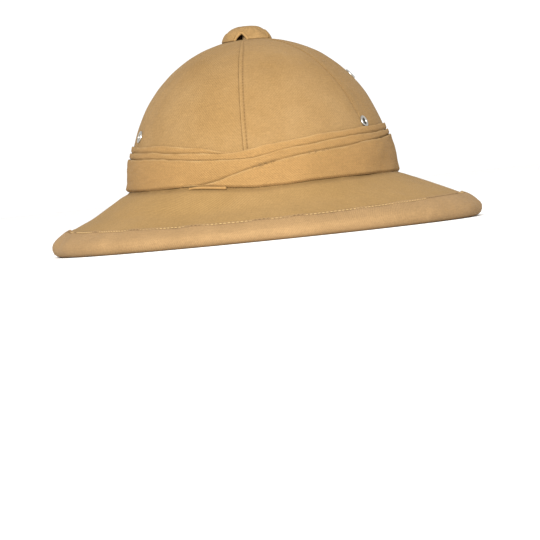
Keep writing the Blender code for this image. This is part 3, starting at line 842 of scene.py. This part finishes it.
# %% Edges of the turns
BAND_HEIGHT = 33.5 * MM
EdgeRow = namedtuple("EdgeRow", "angle up")
TOP_PLEAT_EDGE = (
    EdgeRow(-180, 1.00), EdgeRow(-90, 1.00), EdgeRow(-59, 0.95), EdgeRow(-48, 0.925),
    EdgeRow(-30, 0.86), EdgeRow(-17, 0.75), EdgeRow(-6, 0.61),
)
CROSSING_PLEAT_EDGE = (
    EdgeRow(-180, 0.86), EdgeRow(-90, 0.87), EdgeRow(-57, 0.825), EdgeRow(-48, 0.80),
    EdgeRow(-35, 0.735), EdgeRow(-21, 0.675), EdgeRow(-6, 0.60), EdgeRow(2, 0.66),
    EdgeRow(13, 0.735), EdgeRow(26, 0.80), EdgeRow(38, 0.85), EdgeRow(58, 0.90),
    EdgeRow(90, 0.97), EdgeRow(180, 1.00),
)
LEFT_BAND_EDGE = (
    EdgeRow(-180, 0.73), EdgeRow(-90, 0.74), EdgeRow(-72, 0.715), EdgeRow(-47, 0.66),
    EdgeRow(-35, 0.595), EdgeRow(-25, 0.55), EdgeRow(-9, 0.50), EdgeRow(-2, 0.46),
    EdgeRow(4, 0.48), EdgeRow(19, 0.60), EdgeRow(37, 0.69), EdgeRow(62, 0.77),
    EdgeRow(90, 0.83), EdgeRow(180, 0.86),
)
RIGHT_BAND_EDGE = (
    EdgeRow(-28, 0.00), EdgeRow(-24, 0.03), EdgeRow(-16, 0.06), EdgeRow(-9, 0.134),
    EdgeRow(-2, 0.23), EdgeRow(4, 0.31), EdgeRow(12, 0.385), EdgeRow(20, 0.435),
    EdgeRow(27, 0.465), EdgeRow(36, 0.51), EdgeRow(60, 0.60), EdgeRow(90, 0.72), EdgeRow(180, 0.73),
)
HEM_EDGE = (
    EdgeRow(-180, -0.12), EdgeRow(-120, 0.02), EdgeRow(-86, 0.06), EdgeRow(-60, 0.045),
    EdgeRow(-48, 0.03), EdgeRow(-25, 0.035), EdgeRow(-16, 0.00), EdgeRow(-8, -0.055),
    EdgeRow(3, -0.105), EdgeRow(18, -0.105), EdgeRow(26, -0.075), EdgeRow(67, -0.065),
    EdgeRow(93, -0.07), EdgeRow(130, -0.10), EdgeRow(180, -0.12),
)
# Height of each turn's face off the crown's cloth, in millimetres
TOP_PLEAT_FACE = (EdgeRow(-180, 1.1), EdgeRow(-30, 1.1), EdgeRow(-6, 1.0))
CROSSING_PLEAT_FACE = (EdgeRow(-180, 1.5), EdgeRow(-6, 1.5), EdgeRow(60, 1.3), EdgeRow(180, 1.2))
LEFT_BAND_FACE = (
    EdgeRow(-180, 2.2), EdgeRow(-30, 2.3), EdgeRow(0, 2.0), EdgeRow(90, 1.8), EdgeRow(180, 1.7),
)
RIGHT_BAND_FACE = (EdgeRow(-22, 2.5), EdgeRow(60, 2.7), EdgeRow(120, 2.5), EdgeRow(180, 2.4))


# %% Reading a table round the hat
def read_table(table, angles, blur=5.0):
    """Values of a table at each angle, with its corners rounded off."""
    where = [row.angle for row in table]
    values = [row.up for row in table]
    offsets = np.linspace(-blur, blur, 5)
    return np.mean([np.interp(angles + offset, where, values) for offset in offsets], axis=0)


# %% One turn of the band
WALL = 1.0 * MM
HEM_FLARE = 1.2 * MM
HEM_TURN_IN = 1.2 * MM
BELLY = 0.5 * MM
FOLD_LIP = 0.12 * MM
HIDDEN_SINK = 0.95 * MM
THINNEST = 0.8 * MM
CREASE_FADE = 6


def hem_height(angles):
    """Height of the band's lower edge over the foot of the crown."""
    return BAND_HEIGHT * read_table(HEM_EDGE, angles, blur=2.5)


def wound(name, start, stop, low, high, face, hem, tuck, seed, creases=(), step=0.6, count=36):
    """One turn of the band between two heights. hem and tuck say how its lower edge ends."""
    steps = round((stop - start) / step)
    angles = np.linspace(start, stop, steps + 1)
    bottom = low(angles)
    top = high(angles)
    top_edge = crown_points(angles, rise_of(top))
    top = np.maximum(top, bottom + THINNEST)
    top = top + 0.3 * MM * ripple(top_edge, 31 * MM, seed) + 0.12 * MM * ripple(top_edge, 9 * MM, seed + 1)
    share = 0.5 - 0.5 * np.cos(np.linspace(0, np.pi, count))
    tucked = tuck(angles)
    deepest = bottom - tucked
    heights = deepest[:, None] + (top - deepest)[:, None] * share
    from_low = heights - bottom[:, None]
    from_top = top[:, None] - heights
    full = np.maximum(top - bottom, 1 * MM)[:, None]
    place = crown_points(angles[:, None], rise_of(heights))
    hemmed = hem(angles)[:, None]
    level = MM * read_table(face, angles)[:, None]
    belly = BELLY * np.sin(np.pi * np.clip(from_low / full, 0, 1)) * np.minimum(1, full / (12 * MM))
    flare = HEM_FLARE * hemmed * hump(from_low, 0, 5 * MM) * (1 + 0.3 * ripple(place, 27 * MM, seed + 2))
    flare = flare - HEM_TURN_IN * hemmed * (1 - ease(from_low, 0, 1.8 * MM))
    hidden = (1 - hemmed) * (1 - ease(from_low, -0.4 * MM, 1.6 * MM)) * HIDDEN_SINK
    waves = 0.22 * MM * ripple(place * [1, 1, 2.5], 42 * MM, seed + 3)
    waves = waves + 0.10 * MM * ripple(place * [1, 1, 3], 14 * MM, seed + 4)
    lip = FOLD_LIP * hump(from_top, 0, 1.6 * MM) * (1 + 0.8 * ripple(place, 22 * MM, seed + 5))
    lift = level + belly + flare - hidden + waves * np.minimum(1, full / (8 * MM)) + lip
    for crease in creases:
        reach = ease(angles, crease.start, crease.start + CREASE_FADE)
        reach = reach * (1 - ease(angles, crease.stop - CREASE_FADE, crease.stop))
        share = (angles - crease.start) / (crease.stop - crease.start)
        line = crease.low + (crease.high - crease.low) * share
        away = from_low - line[:, None] * full
        valley = hump(away, 0, 0.5 * MM) - 0.5 * hump(away, -1.1 * MM, 0.9 * MM)
        lift = lift - crease.depth * MM * reach[:, None] * valley
    thick = WALL * (1 + 0.6 * hemmed * hump(from_low, 0, 2.5 * MM))
    length = top - deepest
    left = round_ends(from_top, length[:, None], WALL)
    lost = thick * (1 - left) / 2
    outside = crown_points(angles[:, None], rise_of(heights), lift - lost)
    inside = crown_points(angles[:, None], rise_of(heights), lift - thick + lost)
    along = lengths_along(crown_points(angles, 0 * angles))
    flat = np.stack(np.broadcast_arrays(along[:, None], heights), axis=-1)
    wear_and_shade = 0.5 * hump(from_top, 0.3 * MM, 0.7 * MM) * (0.6 + 0.4 * ripple(place, 12 * MM, seed + 6))
    made = cloth_wall(name, outside, inside, flat, band_twill, wear_and_shade=np.clip(wear_and_shade, 0, 1))
    area = float((length * np.gradient(along)).sum())
    return made, (float(length.max()), float(along[-1])), area


# %% The four turns
CreaseRow = namedtuple("CreaseRow", "start stop low high depth")
LAPPED = 5.0 * MM
WEDGE_TIP = RIGHT_BAND_EDGE[0].angle


def always(value):
    """The same value at every angle."""
    return lambda angles: value + 0 * angles


def edge(table):
    """The height of a turn's edge, as a function of the angle."""
    return lambda angles: BAND_HEIGHT * read_table(table, angles)


def left_band_low(angles):
    """The left turn ends at the hem, and behind the wedge at the wedge's edge."""
    over = edge(RIGHT_BAND_EDGE)(angles)
    free = hem_height(angles) + 0.3 * MM
    return np.where(angles < WEDGE_TIP, free, np.maximum(free, over))


turns = (
    wound(
        "band_top_pleat", -180, -6, edge(CROSSING_PLEAT_EDGE), edge(TOP_PLEAT_EDGE), TOP_PLEAT_FACE,
        hem=always(0), tuck=always(1.5 * LAPPED), seed=100,
    ),
    wound(
        "band_crossing_pleat", -180, 180, edge(LEFT_BAND_EDGE), edge(CROSSING_PLEAT_EDGE),
        CROSSING_PLEAT_FACE, hem=always(0), tuck=always(LAPPED), seed=200,
        creases=(CreaseRow(-34, 6, 0.5, 0.35, 0.35),),
    ),
    wound(
        "band_left_turn", -180, 180, left_band_low, edge(LEFT_BAND_EDGE), LEFT_BAND_FACE,
        hem=lambda angles: 1 - ease(angles, WEDGE_TIP - 2, WEDGE_TIP + 2),
        tuck=lambda angles: LAPPED * ease(angles, WEDGE_TIP + 6, WEDGE_TIP + 26),
        seed=300, creases=(CreaseRow(2, 34, 0.75, 0.55, 0.4), CreaseRow(-60, -20, 0.9, 0.86, 0.25)),
    ),
    wound(
        "band_right_turn", WEDGE_TIP, 180, lambda angles: hem_height(angles) + 0.3 * MM,
        edge(RIGHT_BAND_EDGE), RIGHT_BAND_FACE, hem=always(1), tuck=always(0), seed=400,
    ),
)


# %% The loose fold, and the flat sizes of the turns
def loose_fold():
    """The rolled end of cloth that hangs out under the hem, beside the wedge's tip."""
    along = np.linspace(0, 1, 40)
    angles = -24.5 + 16 * along
    drop = MM * (0.1 + 0.5 * np.sin(np.pi * along) ** 0.5 + 1.2 * (1 - along) ** 6)
    heights = hem_height(angles) + 0.3 * MM - drop
    path = crown_points(angles, rise_of(heights), 3.3 * MM)
    girth = MM * (0.8 + 0.25 * along + 0.08 * ripple(path, 6 * MM, 71))
    return cloth_roll("band_loose_fold", path, girth, band_twill)


fold = loose_fold()
dress(fold, "band_cloth")
turn_nodes = ("wrap_top_pleat", "wrap_crossing_pleat", "wrap_left_band", "wrap_right_band")
for (made, cut, area), node in zip(turns, turn_nodes):
    dress(made, "band_cloth", node)
    print("  cut", [round(side / MM) for side in cut], "mm, area", round(area * 1e4), "square cm")

# %% [markdown]
# ## The vent cap
#
# A small domed cap stands over the hole in the crown, and air leaves through an arched notch
# in each of its quarters. The cloth is turned over the edge of each notch, which gives it a
# soft round lip.

# %% The vent cap
CAP_TURN = -8
CAP_SHIFT = -1.5 * MM
CAP_RADIUS = cap_high.x
NOTCH_HEIGHT = 5.8 * MM
NOTCH_HALF_WIDTH = 5.3 * MM
CAP_PROFILE = (
    (1.0, 0.0), (0.955, 0.2), (0.880, 0.4), (0.740, 0.66), (0.530, 0.88), (0.280, 0.98), (0.02, 1.0),
)
CAP_WALL = 1.5 * MM
CAP_GAP = 0.35 * MM


def crown_top_at(radius, angles):
    """Height of the crown's cloth at a radius near its top."""
    turn = np.radians(angles)
    across = np.hypot(radius * np.sin(turn) / crown_half_width, radius * np.cos(turn) / crown_half_length)
    rise = np.arccos(across ** (1 / CROWN_FULLNESS))
    return base_height + crown_height * np.sin(rise)


def cap_angles():
    """Degrees round the cap, crowded at the sides of its notches."""
    quarter = np.concatenate([
        np.linspace(0, 10, 14), np.linspace(10, 18.5, 22)[1:], np.linspace(18.5, 71.5, 24)[1:-1],
        np.linspace(71.5, 80, 22), np.linspace(80, 90, 14)[1:-1],
    ])
    return np.concatenate([quarter + 90 * k for k in range(4)])


def arch_height(from_notch):
    """Height of a notch's arch over the cap's edge, at degrees from the notch's middle."""
    across = CAP_RADIUS * np.sin(np.radians(from_notch)) / NOTCH_HALF_WIDTH
    return NOTCH_HEIGHT * (1 - np.clip(np.abs(across), 0, 1) ** 1.7) ** 0.75


def cap_points(turn, height, inset=0.0):
    """Points of the cap's outside, at degrees round the hat and a height over its edge."""
    line = smooth_line(CAP_PROFILE, 200)
    order = np.argsort(line[:, 1], kind="stable")
    seat = crown_top_at(CAP_RADIUS, turn) + CAP_GAP
    up = height / (cap_high.z - seat)
    radius = CAP_RADIUS * np.interp(up, line[order, 1], line[order, 0]) - inset
    around = np.radians(turn)
    x = CAP_SHIFT + radius * np.sin(around)
    return np.stack([x, -radius * np.cos(around), seat + height], axis=-1)


def vent_cap(count=32):
    """The cap's cloth, and the way over it from its edge to its top."""
    angles = cap_angles()
    arch = arch_height(np.minimum(angles % 90, 90 - angles % 90))[:, None]
    turn = np.broadcast_to((angles + CAP_TURN)[:, None], (len(angles), count))
    full = cap_high.z - crown_top_at(CAP_RADIUS, turn) - CAP_GAP
    share = 0.5 - 0.5 * np.cos(np.linspace(0, 0.88 * np.pi, count))
    height = arch + (full - arch) * share / share[-1]
    skin = cap_points(turn, height)
    normals = grid_normals(skin, closed=True)
    outward = skin - np.array([0, 0, cap_low.z - 10 * MM])
    normals *= np.sign(np.einsum("ijk,ijk->ij", normals, outward))[..., None]
    away = lengths_along(np.swapaxes(skin, 0, 1)).T
    at_notch = hump(arch / NOTCH_HEIGHT, 1, 0.75)
    roll = 0.45 * MM * hump(away, 0.6 * MM, 0.9 * MM) * (0.5 + 0.8 * at_notch)
    from_middle = np.hypot(skin[..., 0], skin[..., 1])
    soft = 0.12 * MM * ripple(skin, 9 * MM, 51) * ease(from_middle, 2 * MM, 8 * MM)
    left = round_ends(away, 1.0, CAP_WALL)
    lost = CAP_WALL * (1 - left) / 2
    outside = skin + normals * (roll + soft - lost)[..., None]
    inside = skin + normals * (-CAP_WALL + lost)[..., None]
    ring = np.linspace(0, 2 * np.pi, len(angles) + 1)[:, None]
    spread = np.vstack([away, away[:1]])
    flat = np.stack([spread * np.sin(ring), -spread * np.cos(ring)], axis=-1)
    # Pale rubbing on the notches' lips, and painted shade along the cap's lower edge
    wear_and_shade = 0.3 * hump(away, 0.7 * MM, 0.6 * MM) * at_notch - 0.6 * hump(away, 0, 0.45 * MM)
    made = cloth_wall("vent_cap_cloth", outside, inside, flat, crown_twill, closed=True, wear_and_shade=wear_and_shade)
    return made, float(away[:, -1].mean())


# %% Rolled edges of the notches
def notch_lip(number):
    """The turned-in edge of one notch, as a soft roll just inside the cap's wall."""
    from_notch = np.linspace(-17.6, 17.6, 41)
    turn = from_notch + CAP_TURN + 90 * number
    height = np.maximum(arch_height(from_notch) - 0.8 * MM, 0.4 * MM)
    path = cap_points(turn, height, inset=1.1 * MM)
    girth = MM * (1.05 + 0.12 * ripple(path, 5 * MM, 52 + number))
    return cloth_roll(f"cap_lip_{number + 1}", path, girth, crown_twill)


cap, cap_reach = vent_cap()
dress(cap, "crown_cloth", "vent_cap")
lips = [notch_lip(number) for number in range(4)]
for lip in lips:
    dress(lip, "crown_cloth")

# %% [markdown]
# ## The shell, the eyelets and the cap's post
#
# The shell shows only inside the hat and under the brim. It is one moulded piece, so it is
# one closed wall here too, and the eyelets' holes are cut through it with a Boolean, as a
# drill would. The eyelets and the post are turned parts, made by carrying a profile round an
# axis.

# %% Turned parts
def lathe(name, line, sides, material, middle=(0, 0, 0), facing=(0, 0, 1)):
    """A closed turned body from a loop of radius and height points, facing any way."""
    turns = np.arange(sides) * 2 * np.pi / sides
    line = np.array(line)
    grid = np.stack([
        line[None, :, 0] * np.cos(turns)[:, None],
        line[None, :, 0] * np.sin(turns)[:, None],
        np.broadcast_to(line[None, :, 1], (sides, len(line))),
    ], axis=-1)
    facing = np.array(facing, dtype=float)
    side = unit(np.cross(facing, (0, 1, 0)))
    basis = np.stack([side, np.cross(facing, side), facing])
    return closed_both_ways(name, grid @ basis + np.array(middle), material)


# %% Eyelets
BORE_RADIUS = 2.3 * MM
BARREL_WALL = 0.5 * MM
CREST = 0.95 * MM
SHELL_WALL = 6.0 * MM
WALL_DEPTH = 7.8 * MM


def arc(middle, radius, start, stop, count):
    """Points of an arc in a profile's plane, in degrees from its outward direction."""
    turns = np.radians(np.linspace(start, stop, count))
    return [(middle[0] + radius[0] * math.cos(t), middle[1] + radius[1] * math.sin(t)) for t in turns]


# %% The four eyelets
def eyelet(row):
    """A pressed eyelet: a round flange on the cloth, and a barrel rolled over inside."""
    centre, facing = eyelet_frame(row)
    half = (EYELET_RADIUS - BORE_RADIUS) / 2
    seat = 0.1 * MM
    outer = BORE_RADIUS + BARREL_WALL
    flange = arc((BORE_RADIUS + half, seat), (half, CREST), 0, 180, 16)
    inner_roll = arc((BORE_RADIUS + 0.9 * MM, -WALL_DEPTH), (0.9 * MM, 0.7 * MM), 180, 360, 10)
    under = seat - 0.05 * MM
    line = [*flange, *inner_roll, (outer, -WALL_DEPTH), (outer, under), (EYELET_RADIUS, under)]
    return lathe("eyelet_" + row.name + "_nickel", line, 56, nickel, centre, facing)


for row in EYELETS:
    dress(eyelet(row), "nickel", "eyelet_" + row.name)


# %% The post that carries the cap
def post():
    """One turned body: the post through the crown, and the button inside it."""
    button_radius = 9.0 * MM
    radius = 4.3 * MM
    low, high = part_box("cap_stem")
    button_top = low.z + 1.5 * MM
    corner = 0.5 * MM
    line = [
        (0.05 * MM, low.z), *arc((button_radius - corner, low.z + corner), (corner, corner), -90, 0, 5),
        *arc((button_radius - corner, button_top - corner), (corner, corner), 0, 90, 5),
        (radius, button_top), *arc((radius - corner, high.z - corner), (corner, corner), 0, 90, 5),
        (0.05 * MM, high.z),
    ]
    return lathe("cap_post", line, 48, pith)


dress(post(), "shell", "cap_stem")


# %% Drilled holes
DRILL_DEPTH = 16 * MM


def cut_holes(target, depth=DRILL_DEPTH):
    """Drills the eyelets' holes through a piece, and leaves no modifier on it."""
    cutters = []
    for row in EYELETS:
        centre, facing = eyelet_frame(row)
        radius = BORE_RADIUS + BARREL_WALL + 0.25 * MM
        line = [(0.2 * MM, -depth), (radius, -depth), (radius, depth), (0.2 * MM, depth)]
        cutters.append(lathe("drill", line, 40, target.data.materials[0], centre, facing))
    for cutter in cutters:
        hole = target.modifiers.new("hole", "BOOLEAN")
        hole.operation = "DIFFERENCE"
        hole.solver = "EXACT"
        hole.object = cutter
    graph = bpy.context.evaluated_depsgraph_get()
    cut = bpy.data.meshes.new_from_object(target.evaluated_get(graph))
    target.modifiers.clear()
    target.data = cut
    for cutter in cutters:
        bpy.data.objects.remove(cutter, do_unlink=True)


# %% The shell
UNDER_CLOTH = 1.5 * MM
UNDER_BINDING = 1.35 * MM
UNDERSIDE_DEPTH = 7 * MM
CORNER_DROP = 3.75 * MM
VENT_HOLE_RADIUS = 4.6 * MM
LOWEST = 1.2 * MM
PITH_UNEVEN = 0.12 * MM


def shell_section(angle):
    """Points round the shell's wall at one angle, from the vent hole out and back inside."""
    outer_lift = -UNDER_CLOTH
    inner_lift = outer_lift - SHELL_WALL
    rises = np.array([12, 18, 26, 34, 42, 50, 58, 66, 73, 79])
    outer_top = rise_at_radius(VENT_HOLE_RADIUS * crown_half_width / (crown_half_width + outer_lift))
    inner_top = rise_at_radius(VENT_HOLE_RADIUS * crown_half_width / (crown_half_width + inner_lift))
    outer = crown_points(angle, np.append(rises, outer_top)[::-1], outer_lift)
    inner = crown_points(angle, np.append(rises, inner_top), inner_lift)
    top = profile(BRIM_TOP, 20)[2:]
    top = top + line_normals(top) * outer_lift
    bead = profile(BINDING, 40)[5:]
    bead = bead - line_normals(bead) * UNDER_BINDING
    under = profile(BRIM_TOP[:4], 14)[3:11]
    under = under - line_normals(under) * UNDERSIDE_DEPTH
    corner = np.array([[crown_half_width + inner_lift, base_height - CORNER_DROP]])
    brim = np.concatenate([top, bead, under[::-1], corner])
    return np.concatenate([outer, brim_points(brim[:, 0], brim[:, 1], angle), inner])


def shell(steps=180, count=130):
    """The whole wall of the shell, from sections round the hat."""
    angles = round_the_hat(steps)
    grid = np.array([smooth_line(shell_section(angle), count) for angle in angles])
    grid = grid + np.array([0, 0, 1]) * (PITH_UNEVEN * ripple(grid, 16 * MM, 61))[..., None]
    grid[..., 2] = np.maximum(grid[..., 2], LOWEST)
    return closed_both_ways("pressed_shell", grid, pith)


# %% The shell made and drilled
body = shell()
cut_holes(body)
dress(body, "shell", "shell")
for made in (panels[0], panels[1], panels[4], panels[5]):
    cut_holes(made)
    print("drilled", made.name, len(made.data.polygons), "faces")

# %% [markdown]
# ## Stitches
#
# Stitches are what tells the eye how large a hat is, so each is a small piece of thread that
# dives into the cloth at both ends. They follow the grooves that the cloth was given for them.

# %% Stitches
THREAD_RADIUS = 0.24 * MM
BINDING_THREAD_RADIUS = 0.3 * MM
LOOSE_THREAD_RADIUS = 0.14 * MM
SEAM_STITCH = 2.1 * MM
BINDING_STITCH = 1.9 * MM
LOOSE_THREAD = 2.4 * MM
BINDING_STITCH_LIFT = 0.32 * MM


def stitches(name, middles, runs, normals, length, radius=THREAD_RADIUS, thread=sewing_thread):
    """One mesh of short threads, each at a place, along a run and with its back to a normal."""
    along = np.array([-1, -0.86, -0.5, 0, 0.5, 0.86, 1]) * length / 2
    girth = np.array([0.25, 0.75, 1, 1.05, 1, 0.75, 0.25]) * radius
    sink = np.array([-0.28, -0.14, 0, 0.05, 0, -0.14, -0.28]) * MM
    turn = np.arange(8) * np.pi / 4
    sides = np.cross(runs, normals)
    rings = (
        middles[:, None, None]
        + runs[:, None, None] * along[None, :, None, None]
        + normals[:, None, None] * (sink[:, None] + girth[:, None] * np.sin(turn))[None, :, :, None]
        + sides[:, None, None] * (girth[:, None] * np.cos(turn))[None, :, :, None]
    )
    count, ring_count, side_count = rings.shape[:3]
    index = np.arange(count * ring_count * side_count).reshape(count, ring_count, side_count)
    after = np.roll(index, -1, axis=2)
    faces = np.stack([index[:, :-1], index[:, 1:], after[:, 1:], after[:, :-1]], axis=-1).reshape(-1, 4)
    faces = faces.tolist()
    faces += index[:, 0].tolist()
    faces += index[:, -1, ::-1].tolist()
    mesh = bpy.data.meshes.new(name)
    mesh.from_pydata(rings.reshape(-1, 3), [], faces)
    mesh.update()
    return new_object(name, mesh, thread)


# %% Stitches of the seams
def seam_stitches():
    """Places of the crown's stitches, in the groove beside each folded edge."""
    places, runs, faces_out = [], [], []
    for line, height in stitch_lines:
        middles = (np.arange(int(height[-1] / STITCH_PITCH)) + 0.5) * STITCH_PITCH
        points = at_lengths(middles, height, line)
        ahead = at_lengths(middles + 0.5 * MM, height, line)
        outward = unit(points * [1 / crown_half_width**2, 1 / crown_half_length**2, 0])
        over_foot = (points[:, 2] - base_height) / crown_height
        outward = unit(outward * (1 - over_foot[:, None] ** 2) ** 0.5 + [[0, 0, 1]] * over_foot[:, None])
        shown = (points[:, 2] > base_height + 12 * MM) & (clear_of_eyelets(points) > 0.6)
        places.append(points[shown])
        runs.append(unit(ahead - points)[shown])
        faces_out.append(outward[shown])
    places, runs, faces_out = (np.concatenate(part) for part in (places, runs, faces_out))
    faces_out = unit(faces_out - runs * np.einsum("ij,ij->i", runs, faces_out)[:, None])
    return stitches("seam_stitches", places + faces_out * 0.03 * MM, runs, faces_out, SEAM_STITCH)


# %% Stitches of the binding
def binding_stitches():
    """Places of the binding's stitches, a little below its upper edge."""
    around = edge_of_binding(np.linspace(0, 360, BINDING_STEPS + 1))
    count = round(around[-1] / STITCH_PITCH)
    wanted = (np.arange(count) + 0.5) * around[-1] / count
    angles = np.interp(wanted, around, np.linspace(0, 360, BINDING_STEPS + 1))
    line = profile(BINDING, 400)
    away = lengths_along(line)
    at = at_lengths(EDGE_STITCH_INSET, away, line)
    normal = at_lengths(EDGE_STITCH_INSET, away, line_normals(line))
    points = brim_points(at[0], at[1], angles)
    outward = unit(brim_points(at[0] + normal[0] * MM, at[1] + normal[1] * MM, angles) - points)
    ahead = brim_points(at[0], at[1], angles + 0.1)
    runs = unit(ahead - points)
    middles = points + outward * BINDING_STITCH_LIFT
    sewn_with = (BINDING_STITCH, BINDING_THREAD_RADIUS, binding_thread)
    return stitches("binding_stitches", middles, runs, outward, *sewn_with)


# %% A few pulled threads
def pulled_threads(count=26):
    """A few loose threads at the edge of the wedge, where the cloth was handled."""
    draw = np.random.default_rng(81)
    angles = draw.uniform(24, 36, count)
    angles = np.where(draw.uniform(size=count) < 0.75, draw.uniform(3, 13, count), angles)
    heights = BAND_HEIGHT * read_table(RIGHT_BAND_EDGE, angles) + draw.uniform(-0.3, 0.8, count) * MM
    points = crown_points(angles, rise_of(heights), 3.4 * MM)
    outward = unit(crown_points(angles, rise_of(heights), 9 * MM) - points)
    runs = unit(draw.normal(size=(count, 3)) * [1, 0.4, 0.7])
    runs = unit(runs - outward * np.einsum("ij,ij->i", runs, outward)[:, None] * 0.8)
    return stitches("pulled_threads", points, runs, outward, LOOSE_THREAD, LOOSE_THREAD_RADIUS)


sewn = (
    (seam_stitches(), "crown_cloth"),
    (binding_stitches(), "binding_cloth"),
    (pulled_threads(), "band_cloth"),
)
for made, slot in sewn:
    dress(made, slot)

# %% [markdown]
# ## Floor, light and camera
#
# The hat stands on a pale floor in a bright white room. White light comes from all round it,
# and one large soft lamp near the camera shapes it a little. The camera looks from just above
# the floor and is rolled by a few degrees, as in the photo.

# %% Floor and light
FLOOR_REACH = 20
ROOM_LIGHT = 1.08
LAMP_AIMS_AT = (0, 0, 0.08)


def painted_floor():
    """A board so wide that its far edge is lost in the white room."""
    made, tree, shader, place = new_material("matt white painted board")
    clouds = add_node(tree, "TexNoise", {"Vector": place, "Scale": 9.0})
    tones = {"Factor": clouds, 6: linear("#F9F8F7"), 7: linear("#F5F4F3")}
    fill(tree, shader, {
        "Base Color": add_node(tree, "Mix", tones, **COLOUR),
        "Roughness": 0.9,
        "Specular IOR Level": 0.1,
    })
    mesh = bpy.data.meshes.new("floor")
    reach = FLOOR_REACH
    corners = [(-reach, -reach, 0), (reach, -reach, 0), (reach, reach, 0), (-reach, reach, 0)]
    mesh.from_pydata(corners, [], [(0, 1, 2, 3)])
    return new_object("floor", mesh, made)


floor = painted_floor()
floor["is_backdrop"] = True


# %% The white room and the lamp
world = bpy.data.worlds.new("white_room")
world.use_nodes = True
background = world.node_tree.nodes["Background"]
fill(world.node_tree, background, {"Color": (1, 1, 1, 1), "Strength": ROOM_LIGHT})
bpy.context.scene.world = world
bpy.context.scene.view_settings.view_transform = "Standard"


def lamp(name, place, size, power):
    """A soft square lamp that faces the hat and that the camera does not see."""
    data = bpy.data.lights.new(name, "AREA")
    data.size = size
    data.energy = power
    made = bpy.data.objects.new(name, data)
    bpy.context.scene.collection.objects.link(made)
    made.location = place
    toward = Vector(LAMP_AIMS_AT) - made.location
    made.rotation_mode = "QUATERNION"
    made.rotation_quaternion = toward.to_track_quat("-Z", "Y")
    made.visible_camera = False
    return made


key = lamp("soft_lamp", (0.05, -3.3, 0.9), 1.2, 259)
print("lamp:", key.data.energy, "W at", [round(x, 2) for x in key.location])

# %% Camera
CAMERA_DISTANCE = 2.0
CAMERA_AZIMUTH = math.radians(5.3)
CAMERA_ELEVATION = math.radians(1.0)
CAMERA_ROLL = math.radians(5.75)
MM_PER_PIXEL = 0.70
PICTURE = 540
AIM = np.array([0, 0, 39.7 * MM])
AIM_PIXEL = (262.8, 179.8)
SENSOR_WIDTH = 36

pixels_away = CAMERA_DISTANCE / (MM_PER_PIXEL * MM)
place = CAMERA_DISTANCE * np.array([
    math.sin(CAMERA_AZIMUTH) * math.cos(CAMERA_ELEVATION),
    -math.cos(CAMERA_AZIMUTH) * math.cos(CAMERA_ELEVATION),
    math.sin(CAMERA_ELEVATION),
])
forward = unit(AIM - place)
level = unit(np.cross(forward, (0, 0, 1)))
upright = np.cross(level, forward)
right = level * math.cos(CAMERA_ROLL) - upright * math.sin(CAMERA_ROLL)
up = level * math.sin(CAMERA_ROLL) + upright * math.cos(CAMERA_ROLL)
across = (AIM_PIXEL[0] - PICTURE / 2) / pixels_away
down = (AIM_PIXEL[1] - PICTURE / 2) / pixels_away
axis = unit(forward - across * right + down * up)
right = unit(right - axis * (right @ axis))
up = np.cross(right, axis)

camera_data = bpy.data.cameras.new("camera")
camera_data.sensor_width = SENSOR_WIDTH
camera_data.lens = SENSOR_WIDTH * pixels_away / PICTURE
camera = bpy.data.objects.new("camera", camera_data)
bpy.context.scene.collection.objects.link(camera)
rows = [[right[i], up[i], -axis[i], place[i]] for i in range(3)]
camera.matrix_world = Matrix([*rows, [0, 0, 0, 1]])
bpy.context.scene.camera = camera
print("camera lens", round(camera_data.lens, 1), "mm, at", [round(float(x), 3) for x in place])

low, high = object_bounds()
print("visual size", [round(side / MM, 1) for side in high - low], "mm")
